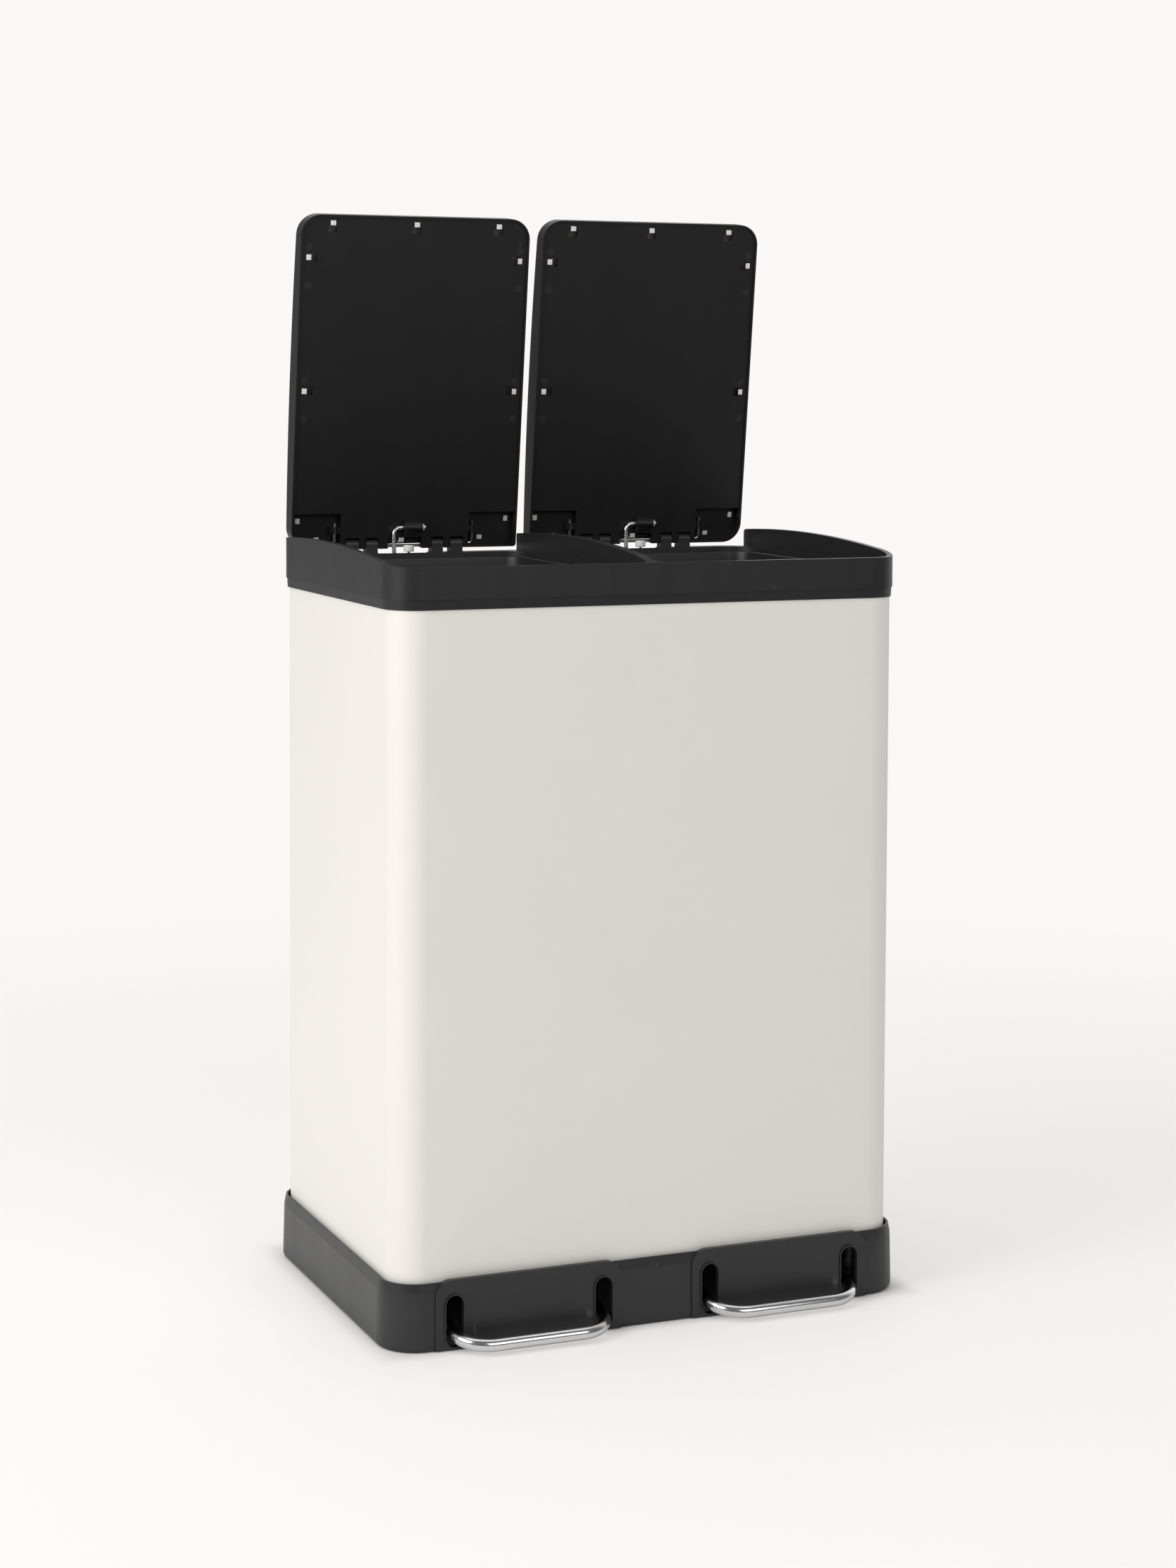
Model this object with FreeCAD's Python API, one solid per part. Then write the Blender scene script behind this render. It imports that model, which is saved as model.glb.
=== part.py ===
import FreeCAD, Part
import math
import os
from collections import namedtuple

# A double recycling bin: one steel shell on a moulded base, two inner buckets, and two lids that are
# raised by their own pedals through a lever in the base and a push rod behind the bucket.
# Frame: origin on the floor under the middle of the open bin, +X to the right, +Y to the rear, +Z up.
# The pieces are drawn with the lids open and the pedals down, as the bin stands in its resting pose.

# ---------------------------------------------------------------- driving dimensions, millimetres

# Steel shell
SHELL_WIDTH = 468.0
SHELL_DEPTH = 318.0
SHELL_CORNER = 28.0
SHELL_SHEET = 0.6
SHELL_Y = 13.9            # the shell's middle plane, forward of the lids' overhang, behind the pedals'
SHELL_BOTTOM = 49.5
SHELL_TOP = 631.0
HEM = 6.0                 # folded edge that carries the screws, top and bottom
SEAM_HALF = 5.0

# Screws through the hems
SCREW_IN = 3.5            # from the shell's outer face
SCREW_REAR_X = 60.0       # the two rear ones stand clear of the seam
SCREW_R = 1.7
SCREW_HEAD_R = 2.8
SCREW_HEAD_TALL = 2.2

# Feet
FOOT_X = 205.0
FOOT_Y = 130.0
FOOT_R = 11.0
FOOT_TALL = 3.2

# Base moulding
BASE_TOP = 57.7
BASE_CLEAR = 1.0          # height of the skirt's lower edge over the floor
BASE_BAND = 8.5           # sloping band at the top of the skirt
BASE_OUT_TOP = 4.4        # how far the skirt stands out from the shell, at four heights
BASE_OUT_BAND = 6.0
BASE_OUT_FOOT = 7.1
BASE_OUT_EDGE = 5.6
BASE_WALL = 2.8
DECK_TOP = 76.0
DECK_THICK = 3.0

# Pedal plates and slots
PLATE_HALF = 84.0
PLATE_TOP = 59.5
PLATE_CORNER = 14.0
PLATE_PROUD = 1.4
SLOT_PITCH = 134.6
SLOT_WIDTH = 15.6
SLOT_LOW = 3.0
SLOT_HIGH = 46.7

# Rim moulding
RIM_BOTTOM = 617.6
RIM_STEP = 626.1
RIM_STEP_IN = 0.8
RIM_OUT = 2.5
RIM_OUT_REAR = 4.7
RIM_WALL = 5.0
LEDGE_TOP = 645.5
LEDGE_THICK = 3.0
DIVIDER = 9.0
DIVIDER_REAR = 157.5      # rear ends and crown of the fins, from the shell's middle plane
FIN_REAR = 145.0
CROWN_REAR = (157.5, 661.4)
CROWN_TOP = (40.0, 665.2)
CROWN_FRONT = (-118.0, 657.8)
DIP_FRONT = -157.0
DIP_TURN = 12.4           # degrees, steepest slope of the dip

# Mouths in the rim
MOUTH_WIDTH = 212.5
MOUTH_DEPTH = 283.5
MOUTH_X = 117.75
MOUTH_Y = -9.75
MOUTH_CORNER = 26.0
LIP = 1.8

# Lids
LID_X = 117.0
LID_WIDTH = 220.6
LID_LENGTH = 306.8
LID_REAR = 3.4            # how far the lid reaches behind its hinge axis
LID_OPEN = 83.16          # degrees
LID_EDGE_REAR = 14.8      # thickness at the rear edge, the crown and the front edge
LID_EDGE_CROWN = 20.6
LID_EDGE_FRONT = 14.2
LID_CROWN_AT = 155.0
LID_BORDER = 3.0
LID_FACE_BELOW = 5.2      # inner face under the hinge axis
LID_CORNER = 19.0
SKIN_SHEET = 0.8
SKIN_INSET = 1.2
PANEL_RECESS = 1.5
PANEL_THICK = 2.2
STEP_AT = 33.0            # from the lid's rear edge to the step of the rear pockets
POCKET_DEEP = 9.5
BLOCK_HALF = 62.5
HINGE_BAND_HALF = 60.0    # the solid band that carries the lugs behind the hinge wire
HINGE_BAND_TOP = 7.8      # over the hinge axis

# Folded tabs of the steel cover
TAB_WIDTH = 5.0
TAB_FOLD = 4.0
TAB_PITCH = 80.0
TAB_FRONT_IN = 5.5
TAB_REAR_IN = 6.0
TAB_REAR_SHIFT = 3.6
TAB_SIDE_X = 104.0
TAB_SIDE_REAR = 25.5
TAB_SIDE_PITCH = 121.25
WINDOW_HALF = 4.2         # opening in the liner beside each tab of its flat part
WINDOW_LONG = 5.5
WINDOW_GAP = 0.3

# Hinge
HINGE_Y = 158.7
HINGE_Z = 653.3
KNUCKLE_R = 5.0
KNUCKLES = ((-51.0, 12.0), (-32.0, 11.0), (32.0, 11.0), (51.0, 12.0))
WIRE_R = 1.5
WIRE_HALF = 67.1
WIRE_UP = 20.7
RUNNING = 0.05            # radial clearance of every running fit

# Push rod and boss
ROD_R = 2.0
ROD_X = -12.2             # from the lid's middle
BOSS_Y = 149.7            # with the lid open
BOSS_Z = 669.0
BOSS_R = 5.3
BOSS_LENGTH = 15.5
CAP_R = 3.0
CAP_LENGTH = 2.2
ROD_FOOT_Y = 140.5
ROD_FOOT_Z = 61.0

# Pedals and levers
PEDAL_R = 5.5
PEDAL_BAR_Y = -191.35     # the bar's middle with the pedal down
PEDAL_BAR_Z = 9.0
PEDAL_BEND = 28.0
ARM_END = -46.0           # rear ends of the pedal's arms, from the shell's middle plane
YOKE_HALF = 75.5
HUB_R = 8.0
PIVOT_Y = -8.0
PIVOT_Z = 38.0
AXLE_R = 4.0
LEVER_EYE_BACK = 2.9      # the eye's middle, ahead of the rod's foot with the pedal down
LEVER_EYE_UP = 0.7
EYE_HALF_LONG = 5.6
EYE_HALF_HIGH = 3.4

# Dampers
DAMPER_Y = 143.0
DAMPER_CAP_TOP = 653.0
DAMPER_CAP_R = 4.9
DAMPER_CAP_TALL = 6.0
DAMPER_BODY_R = 6.5
CRADLE_FLOOR = 612.0

# Buckets
BUCKET_GAP = 1.5          # between the bucket's flange and the mouth
BUCKET_TOP = 642.0
BUCKET_WALL = 2.0
BUCKET_FLANGE = 4.0
BUCKET_TAPER = 8.5
BAIL_R = 2.0
BAIL_Z = 629.0
BAIL_REACH = 124.0

SIDES = (("left", -1), ("right", 1))

# ---------------------------------------------------------------- plan outlines and solids

Plan = namedtuple("Plan", "x0 x1 y0 y1 radii")


def plan(mid_x, mid_y, width, depth, radii):
    """A rounded rectangle seen from above; radii run front left, front right, rear right, rear left."""
    if not isinstance(radii, tuple):
        radii = (radii,) * 4
    return Plan(mid_x - width / 2, mid_x + width / 2, mid_y - depth / 2, mid_y + depth / 2, radii)


def grown(base, side, rear=None):
    """The same outline moved outwards, with its own amount at the rear."""
    rear = side if rear is None else rear
    radii = tuple(max(r + side, 0.0) for r in base.radii)
    return Plan(base.x0 - side, base.x1 + side, base.y0 - side, base.y1 + rear, radii)


def outline(base, z):
    """The closed wire of a plan at height z."""
    corners = (
        (base.x0, base.y0, 1, 1, 180),
        (base.x1, base.y0, -1, 1, 270),
        (base.x1, base.y1, -1, -1, 0),
        (base.x0, base.y1, 1, -1, 90),
    )
    arcs = []
    for (x, y, in_x, in_y, start), r in zip(corners, base.radii):
        cx, cy = x + in_x * r, y + in_y * r
        angles = [math.radians(start + turn) for turn in (0, 45, 90)]
        arcs.append([FreeCAD.Vector(cx + r * math.cos(a), cy + r * math.sin(a), z) for a in angles])
    edges = []
    for i, arc in enumerate(arcs):
        if base.radii[i] > 0:
            edges.append(Part.Arc(*arc).toShape())
        edges.append(Part.makeLine(arc[2], arcs[(i + 1) % 4][0]))
    return Part.Wire(edges)


def prism(base, z0, z1):
    """A plan carried straight up from z0 to z1."""
    return Part.Face(outline(base, z0)).extrude(FreeCAD.Vector(0, 0, z1 - z0))


def profile(points, carry):
    """A flat polygon of points, carried along a vector."""
    corners = [FreeCAD.Vector(*point) for point in points]
    return Part.Face(Part.makePolygon(corners + corners[:1])).extrude(FreeCAD.Vector(*carry))


def flared(low, z0, high, z1):
    """From one plan to the same plan grown evenly: flat sides and a cone round each corner."""
    if low == high:
        return prism(low, z0, z1)
    cx0, cx1 = low.x0 + low.radii[0], low.x1 - low.radii[0]
    cy0, cy1 = low.y0 + low.radii[0], low.y1 - low.radii[2]
    across = [(low.x0, cy0, z0), (low.x1, cy0, z0), (high.x1, cy0, z1), (high.x0, cy0, z1)]
    along = [(cx0, low.y0, z0), (cx0, low.y1, z0), (cx0, high.y1, z1), (cx0, high.y0, z1)]
    solids = [profile(across, (0, cy1 - cy0, 0)), profile(along, (cx1 - cx0, 0, 0))]
    for x in (cx0, cx1):
        for y in (cy0, cy1):
            solids.append(Part.makeCone(low.radii[0], high.radii[0], z1 - z0, FreeCAD.Vector(x, y, z0)))
    return union(solids)


def stacked(levels):
    """A solid through plans at rising heights."""
    return union([flared(*low, *high) for low, high in zip(levels, levels[1:])])


def block(x0, x1, y0, y1, z0, z1):
    return Part.makeBox(x1 - x0, y1 - y0, z1 - z0, FreeCAD.Vector(x0, y0, z0))


def along_x(x0, x1, y, z, r):
    return Part.makeCylinder(r, x1 - x0, FreeCAD.Vector(x0, y, z), FreeCAD.Vector(1, 0, 0))


def upright(x, y, z0, z1, r):
    return Part.makeCylinder(r, z1 - z0, FreeCAD.Vector(x, y, z0))


def side_view(edges, x0, x1):
    """A closed loop of (y, z) lines and three-point arcs, carried along X."""
    shapes = []
    for points in edges:
        corners = [FreeCAD.Vector(x0, y, z) for y, z in points]
        shapes.append(Part.Arc(*corners).toShape() if len(corners) == 3 else Part.makeLine(*corners))
    return Part.Face(Part.Wire(shapes)).extrude(FreeCAD.Vector(x1 - x0, 0, 0))


def bent_rod(points, bend, r, mitres):
    """A round rod through points; each bend of radius bend is made of short mitred runs."""
    points = [FreeCAD.Vector(*p) for p in points]
    path = [points[0]]
    for before, corner, after in zip(points, points[1:], points[2:]):
        d_in = (corner - before).normalize()
        d_out = (after - corner).normalize()
        turn = d_in.getAngle(d_out)
        side = (d_out - d_in * math.cos(turn)).normalize()
        centre = corner - d_in * (bend * math.tan(turn / 2)) + side * bend
        far = bend / math.cos(turn / (2 * mitres))
        for i in range(mitres):
            at = turn * (i + 0.5) / mitres
            path.append(centre + d_in * (far * math.sin(at)) - side * (far * math.cos(at)))
    path.append(points[-1])
    section = Part.Wire(Part.makeCircle(r, path[0], path[1] - path[0]))
    return Part.makePolygon(path).makePipeShell([section], True, False, 1)


def union(shapes):
    if len(shapes) == 1:
        return shapes[0]
    return shapes[0].multiFuse(shapes[1:]).removeSplitter()


def less(shape, tools):
    return shape.cut(Part.makeCompound(tools)).removeSplitter()


def arc_through(a, b, c):
    """Centre and radius of the circle through three (y, z) points."""
    d = 2 * (a[0] * (b[1] - c[1]) + b[0] * (c[1] - a[1]) + c[0] * (a[1] - b[1]))
    sq = [p[0] ** 2 + p[1] ** 2 for p in (a, b, c)]
    y = (sq[0] * (b[1] - c[1]) + sq[1] * (c[1] - a[1]) + sq[2] * (a[1] - b[1])) / d
    z = (sq[0] * (c[0] - b[0]) + sq[1] * (a[0] - c[0]) + sq[2] * (b[0] - a[0])) / d
    return y, z, math.hypot(a[0] - y, a[1] - z)


# ---------------------------------------------------------------- shared outlines

SHELL = plan(0, SHELL_Y, SHELL_WIDTH, SHELL_DEPTH, SHELL_CORNER)
FRONT = SHELL.y0
REAR = SHELL.y1
HINGE = (SHELL_Y + HINGE_Y, HINGE_Z)
PIVOT = (SHELL_Y + PIVOT_Y, PIVOT_Z)
BOSS = (SHELL_Y + BOSS_Y, BOSS_Z)
ROD_FOOT = (SHELL_Y + ROD_FOOT_Y, ROD_FOOT_Z)

# Screw places, shared by the shell's hems, the rim's bosses and the base.
CORNER_R = SHELL_CORNER - SCREW_IN
CORNER_X = SHELL.x1 - SHELL_CORNER + CORNER_R * math.sqrt(0.5)
CORNER_Y = SHELL_DEPTH / 2 - SHELL_CORNER + CORNER_R * math.sqrt(0.5)
SCREWS = [(sx * CORNER_X, SHELL_Y + sy * CORNER_Y) for sx in (-1, 1) for sy in (-1, 1)]
SCREWS += [(sx * SCREW_REAR_X, REAR - SCREW_IN) for sx in (-1, 1)]


def mouth(side):
    return plan(side * MOUTH_X, SHELL_Y + MOUTH_Y, MOUTH_WIDTH, MOUTH_DEPTH, MOUTH_CORNER)


def lid_plan(side):
    """The closed lid's outline; only the inner rear corner is nearly square."""
    y1 = HINGE[0] + LID_REAR
    small = 3.0
    radii = (LID_CORNER, LID_CORNER, small, LID_CORNER) if side < 0 else \
        (LID_CORNER, LID_CORNER, LID_CORNER, small)
    return plan(side * LID_X, y1 - LID_LENGTH / 2, LID_WIDTH, LID_LENGTH, radii)


def opened(shape):
    """Turns a piece drawn on the closed lid up to the open pose."""
    shape.rotate(FreeCAD.Vector(0, *HINGE), FreeCAD.Vector(1, 0, 0), -LID_OPEN)
    return shape


def pressed(shape):
    """Turns a piece drawn on a level lever down to the pedal's lowest pose."""
    drop = math.degrees(math.atan2(PIVOT_Z - PEDAL_BAR_Z, PIVOT_Y - PEDAL_BAR_Y))
    shape.rotate(FreeCAD.Vector(0, *PIVOT), FreeCAD.Vector(1, 0, 0), drop)
    return shape


# ---------------------------------------------------------------- shell, base and feet

def body_shell():
    """One wrapped sheet with a folded hem at each end and a lock seam down the inside of the back."""
    tube = prism(SHELL, SHELL_BOTTOM, SHELL_TOP).cut(
        prism(grown(SHELL, -SHELL_SHEET), SHELL_BOTTOM + SHELL_SHEET, SHELL_TOP - SHELL_SHEET))
    opening = prism(grown(SHELL, -HEM), SHELL_BOTTOM - 1, SHELL_TOP + 1)
    seam = block(-SEAM_HALF, SEAM_HALF, REAR - 2 * SHELL_SHEET, REAR - SHELL_SHEET / 2,
                 SHELL_BOTTOM + SHELL_SHEET, SHELL_TOP - SHELL_SHEET)
    groove = block(SEAM_HALF - 0.4, SEAM_HALF + 0.4, REAR - 0.4, REAR + 1, SHELL_BOTTOM - 1, SHELL_TOP + 1)
    holes = [upright(x, y, SHELL_BOTTOM - 1, SHELL_BOTTOM + 2, SCREW_R) for x, y in SCREWS]
    holes += [upright(x, y, SHELL_TOP - 2, SHELL_TOP + 1, SCREW_R) for x, y in SCREWS]
    return less(less(tube, [opening]).fuse(seam), [groove] + holes)


def pedal_plate(side):
    """The raised plate round one pedal's two slots, leaning with the skirt."""
    low = FRONT - BASE_OUT_FOOT - PLATE_PROUD
    high = FRONT - BASE_OUT_BAND - PLATE_PROUD
    wedge = side_view([((low, BASE_CLEAR), (high, PLATE_TOP)), ((high, PLATE_TOP), (FRONT - 2, PLATE_TOP)),
                       ((FRONT - 2, PLATE_TOP), (FRONT - 2, BASE_CLEAR)),
                       ((FRONT - 2, BASE_CLEAR), (low, BASE_CLEAR))],
                      side * LID_X - PLATE_HALF, side * LID_X + PLATE_HALF)
    x0, x1 = side * LID_X - PLATE_HALF, side * LID_X + PLATE_HALF
    corners = []
    for x, inwards in ((x0, 1), (x1, -1)):
        square = block(min(x, x + inwards * PLATE_CORNER), max(x, x + inwards * PLATE_CORNER),
                       FRONT - 20, FRONT + 20, PLATE_TOP - PLATE_CORNER, PLATE_TOP + 1)
        axis = FreeCAD.Vector(x + inwards * PLATE_CORNER, FRONT - 21, PLATE_TOP - PLATE_CORNER)
        corners.append(square.cut(Part.makeCylinder(PLATE_CORNER, 60, axis, FreeCAD.Vector(0, 1, 0))))
    return less(wedge, corners)


def slot_shape(x, grow, y0, y1):
    """A round-ended upright slot, carried along Y."""
    r = SLOT_WIDTH / 2 + grow
    low, high = SLOT_LOW + SLOT_WIDTH / 2, SLOT_HIGH - SLOT_WIDTH / 2
    ends = [Part.makeCylinder(r, y1 - y0, FreeCAD.Vector(x, y0, z), FreeCAD.Vector(0, 1, 0))
            for z in (low, high)]
    return union([block(x - r, x + r, y0, y1, low, high)] + ends)


def axle_lugs(side):
    """Two lugs that hang from the deck and hold the ends of one lever axle."""
    lugs = []
    for end in (-1, 1):
        x = side * LID_X + end * 79.5
        cheek = block(x - 2.5, x + 2.5, PIVOT[0] - 11, PIVOT[0] + 11, PIVOT[1], DECK_TOP - 1)
        lugs += [cheek, along_x(x - 2.5, x + 2.5, PIVOT[0], PIVOT[1], 11)]
    return lugs


def base_tray():
    """Skirt, channel for the shell, raised deck, axle lugs, foot posts and the two pedal plates."""
    skirt = stacked([(grown(SHELL, BASE_OUT_EDGE), BASE_CLEAR),
                     (grown(SHELL, BASE_OUT_FOOT), BASE_CLEAR + 3),
                     (grown(SHELL, BASE_OUT_BAND), BASE_TOP - BASE_BAND),
                     (grown(SHELL, BASE_OUT_TOP), BASE_TOP)])
    upstand_out = grown(SHELL, -HEM - 0.5)
    upstand_in = grown(SHELL, -HEM - 0.5 - 2.5)
    solids = [skirt, prism(upstand_out, SHELL_BOTTOM - 1, DECK_TOP)]
    solids += [pedal_plate(side) for _, side in SIDES]
    body = union(solids)

    channel = stacked([(grown(SHELL, 2.8), SHELL_BOTTOM), (grown(SHELL, 2.6), BASE_TOP + 5)])
    channel = channel.cut(prism(upstand_out, SHELL_BOTTOM - 1, BASE_TOP + 6))
    under = [prism(grown(SHELL, BASE_OUT_BAND - BASE_WALL), -1, SHELL_BOTTOM - BASE_WALL),
             prism(upstand_in, -1, DECK_TOP - DECK_THICK)]
    body = less(body, [channel] + under)

    posts = []
    for sx in (-1, 1):
        for sy in (-1, 1):
            posts.append(upright(sx * FOOT_X, SHELL_Y + sy * FOOT_Y,
                                 FOOT_TALL - 1.2, DECK_TOP - 1, FOOT_R + 2.5))
    ribs = [block(-1.5, 1.5, upstand_in.y0 - 1, upstand_in.y1 + 1, 22, DECK_TOP - 1)]
    for _, side in SIDES:
        for y in (-95, 70):
            ribs.append(block(side * LID_X - 50, side * LID_X + 50, SHELL_Y + y - 1, SHELL_Y + y + 1,
                              DECK_TOP - 8, DECK_TOP - 1))
        posts += axle_lugs(side)
        for end in (-1, 1):
            x = side * LID_X + end * SLOT_PITCH / 2
            posts.append(slot_shape(x, 1.0, FRONT - 9.3, FRONT - BASE_OUT_BAND + 1))
    body = union([body] + posts + ribs)

    cuts = []
    for _, side in SIDES:
        for end in (-1, 1):
            cuts.append(slot_shape(side * LID_X + end * SLOT_PITCH / 2, 0, FRONT - 12, FRONT - 1))
        cuts.append(along_x(side * LID_X - 82, side * LID_X + 82, PIVOT[0], PIVOT[1], AXLE_R))
        rod_x = side * LID_X + ROD_X
        cuts.append(block(rod_x - 5, rod_x + 5, SHELL_Y + 131, SHELL_Y + 147, DECK_TOP - 5, DECK_TOP + 1))
    for sx in (-1, 1):
        for sy in (-1, 1):
            cuts.append(upright(sx * FOOT_X, SHELL_Y + sy * FOOT_Y, 0, FOOT_TALL, FOOT_R))
    cuts += [upright(x, y, SHELL_BOTTOM - BASE_WALL - 1, SHELL_BOTTOM + 1, SCREW_R) for x, y in SCREWS]
    return less(body, cuts)


def foot_pads():
    """Four rubber discs pressed into the foot posts."""
    pads = []
    for sx in (-1, 1):
        for sy in (-1, 1):
            pads.append(upright(sx * FOOT_X, SHELL_Y + sy * FOOT_Y, 0, FOOT_TALL, FOOT_R))
    return Part.makeCompound(pads)


def screws(head_z, length):
    """Pan-head screws that point up from head_z."""
    return Part.makeCompound([
        upright(x, y, head_z - SCREW_HEAD_TALL, head_z, SCREW_HEAD_R)
        .fuse(upright(x, y, head_z, head_z + length, SCREW_R))
        for x, y in SCREWS])


# ---------------------------------------------------------------- rim

def crown_height(y):
    cy, cz, r = arc_through(CROWN_REAR, CROWN_TOP, CROWN_FRONT)
    return cz + math.sqrt(r * r - (y - cy) ** 2)


def fin_profile(rear, x0, x1):
    """Everything below the rim's top line: a long crown, then a dip down to the front wall."""
    cy, cz, r = arc_through(CROWN_REAR, CROWN_TOP, CROWN_FRONT)
    lean = math.asin((cy - CROWN_FRONT[0]) / r)
    turn = math.radians(DIP_TURN)
    run = CROWN_FRONT[0] - DIP_FRONT
    dip = run / (2 * math.sin(turn) - math.sin(lean))
    drop = dip * (math.cos(lean) + 1 - 2 * math.cos(turn))
    low = CROWN_FRONT[1] - drop

    def over(angle):
        return (CROWN_FRONT[0] - dip * (math.sin(angle) - math.sin(lean)),
                CROWN_FRONT[1] - dip * (math.cos(lean) - math.cos(angle)))

    def under(angle):
        return DIP_FRONT + dip * math.sin(angle), low + dip * (1 - math.cos(angle))

    soft = 2.5
    top = crown_height(rear - soft)
    path = [
        ((rear, RIM_STEP), (rear, top - soft)),
        ((rear, top - soft), (rear - soft * 0.293, top - soft * 0.293), (rear - soft, top)),
        ((rear - soft, top), (20.0, crown_height(20.0)), CROWN_FRONT),
        (CROWN_FRONT, over((lean + turn) / 2), over(turn)),
        (over(turn), under(turn / 2), (DIP_FRONT, low)),
        ((DIP_FRONT, low), (-170.0, low)),
        ((-170.0, low), (-170.0, RIM_STEP)),
        ((-170.0, RIM_STEP), (rear, RIM_STEP)),
    ]
    shifted = [tuple((y + SHELL_Y, z) for y, z in points) for points in path]
    return side_view(shifted, x0, x1)


def divider():
    """The wall between the lids, with a round foot on each side where it meets the front wall."""
    inner_front = FRONT - RIM_OUT + RIM_WALL
    foot = 13.0
    half = DIVIDER / 2
    shape = block(-half, half, inner_front - 2, SHELL_Y + DIVIDER_REAR, LEDGE_TOP - 2, 672)
    flare = block(-half - foot, half + foot, inner_front - 2, inner_front + foot, LEDGE_TOP - 2, 672)
    rounds = [upright(end * (half + foot), inner_front + foot, LEDGE_TOP - 3, 673, foot) for end in (-1, 1)]
    return shape.fuse(less(flare, rounds))


def knuckle(x, width):
    """One hinge post on the rear ledge, round over the hinge wire."""
    y, z = HINGE
    post = block(x - width / 2, x + width / 2, y - KNUCKLE_R, y + KNUCKLE_R, LEDGE_TOP - 1, z)
    return post.fuse(along_x(x - width / 2, x + width / 2, y, z, KNUCKLE_R))


def cradle(side):
    """The bracket under the rear ledge that holds the damper and lets the push rod through."""
    x = side * LID_X
    y0, y1 = SHELL_Y + 132.6, SHELL_Y + 152.0
    outer = block(x - 26.5, x + 25.5, y0, y1, CRADLE_FLOOR, LEDGE_TOP - 2)
    inner = block(x - 24, x + 23, y0 + 1.7, y1 + 1, CRADLE_FLOOR + 3, LEDGE_TOP + 1)
    return outer.cut(inner)


def top_rim():
    """Outer wall with its step, fins, divider, ledge with two mouths, knuckles and damper cradles."""
    outer = grown(SHELL, RIM_OUT, RIM_OUT_REAR)
    inner = grown(SHELL, RIM_OUT - RIM_WALL)
    band = stacked([(grown(SHELL, RIM_OUT - 1.3, RIM_OUT_REAR - 1.3), RIM_BOTTOM),
                    (grown(SHELL, RIM_OUT - RIM_STEP_IN, RIM_OUT_REAR - RIM_STEP_IN), RIM_STEP)])
    wall = prism(outer, RIM_STEP, LEDGE_TOP)
    tall = prism(outer, LEDGE_TOP - 1, 672).cut(prism(inner, LEDGE_TOP - 2, 673))
    walls = tall.common(fin_profile(FIN_REAR, outer.x0 - 1, outer.x1 + 1))
    middle = divider().common(fin_profile(DIVIDER_REAR, -40, 40)).common(prism(outer, LEDGE_TOP - 3, 673))

    hollow = [prism(inner, SHELL_TOP - 1, LEDGE_TOP - LEDGE_THICK),
              prism(grown(SHELL, 0.2), RIM_BOTTOM - 1, SHELL_TOP)]
    rim = less(union([band, wall]), hollow)

    solids = [rim, walls, middle]
    cuts = []
    for _, side in SIDES:
        x = side * LID_X
        edge = mouth(side)
        solids.append(prism(grown(edge, LIP), SHELL_TOP + 0.5, LEDGE_TOP + 1.0))
        solids.append(block(x - 29, x + 28, SHELL_Y + 132.6, SHELL_Y + 161, LEDGE_TOP - 4.5, LEDGE_TOP - 1))
        solids.append(cradle(side))
        solids += [knuckle(x + at, width) for at, width in KNUCKLES]
        cuts.append(prism(edge, SHELL_TOP - 1, LEDGE_TOP + 3))
        cuts.append(block(x - 26.2, x + 25.2, SHELL_Y + 132.4, REAR + 8, LEDGE_TOP - 2.7, LEDGE_TOP + 1.5))
        cuts.append(block(x - 24, x + 23, SHELL_Y + 134.3, SHELL_Y + 153, LEDGE_TOP - 8, LEDGE_TOP + 2))
        cuts.append(along_x(x - 60, x + 60, HINGE[0], HINGE[1], WIRE_R + RUNNING))
        cuts.append(upright(x, SHELL_Y + DAMPER_Y, CRADLE_FLOOR - 1, CRADLE_FLOOR + 4, DAMPER_BODY_R))
        rod_x = x + ROD_X
        cuts.append(block(rod_x - 3.2, rod_x + 3.2, SHELL_Y + 137, SHELL_Y + 154,
                          CRADLE_FLOOR - 1, CRADLE_FLOOR + 4))
    for sx, sy in SCREWS:
        solids.append(upright(sx, sy, SHELL_TOP, LEDGE_TOP - 1, 3.6))
        cuts.append(upright(sx, sy, SHELL_TOP - 1, SHELL_TOP + 9, SCREW_R))
    return less(union(solids), cuts)


# ---------------------------------------------------------------- lids

def dome(side, drop):
    """The space under the lid's crowned outer face, lowered by drop, in the closed pose."""
    face = HINGE[1] - LID_FACE_BELOW - drop
    rear = HINGE[0] + LID_REAR
    front = rear - LID_LENGTH
    middle = rear - LID_CROWN_AT
    cy, cz, r = arc_through((rear, face + LID_EDGE_REAR), (middle, face + LID_EDGE_CROWN),
                            (front, face + LID_EDGE_FRONT))
    y1, y0, low = rear + 4, front - 4, face - 30
    top = [(y, cz + math.sqrt(r * r - (y - cy) ** 2)) for y in (y1, middle, y0)]
    x = side * LID_X
    return side_view([top, (top[2], (y0, low)), ((y0, low), (y1, low)), ((y1, low), top[0])],
                     x - LID_WIDTH / 2 - 2, x + LID_WIDTH / 2 + 2)


def tabs():
    """Places of the cover's tabs: across, from the rear edge, and the way each folds."""
    places = [(column * TAB_PITCH, LID_LENGTH - TAB_FRONT_IN, "back") for column in (-1, 0, 1)]
    places += [(end * TAB_SIDE_X, TAB_SIDE_REAR + row * TAB_SIDE_PITCH, "in")
               for end in (-1, 1) for row in range(3)]
    return places + [(column * TAB_PITCH - TAB_REAR_SHIFT, TAB_REAR_IN, "front") for column in (-1, 0, 1)]


def tab_floor(across, at):
    """Height of the panel's inner face at a tab: the deep pockets lie beside the middle block."""
    face = HINGE[1] - LID_FACE_BELOW
    in_pocket = at < STEP_AT and abs(across) > BLOCK_HALF
    return face + (POCKET_DEEP if in_pocket else PANEL_RECESS)


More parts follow.
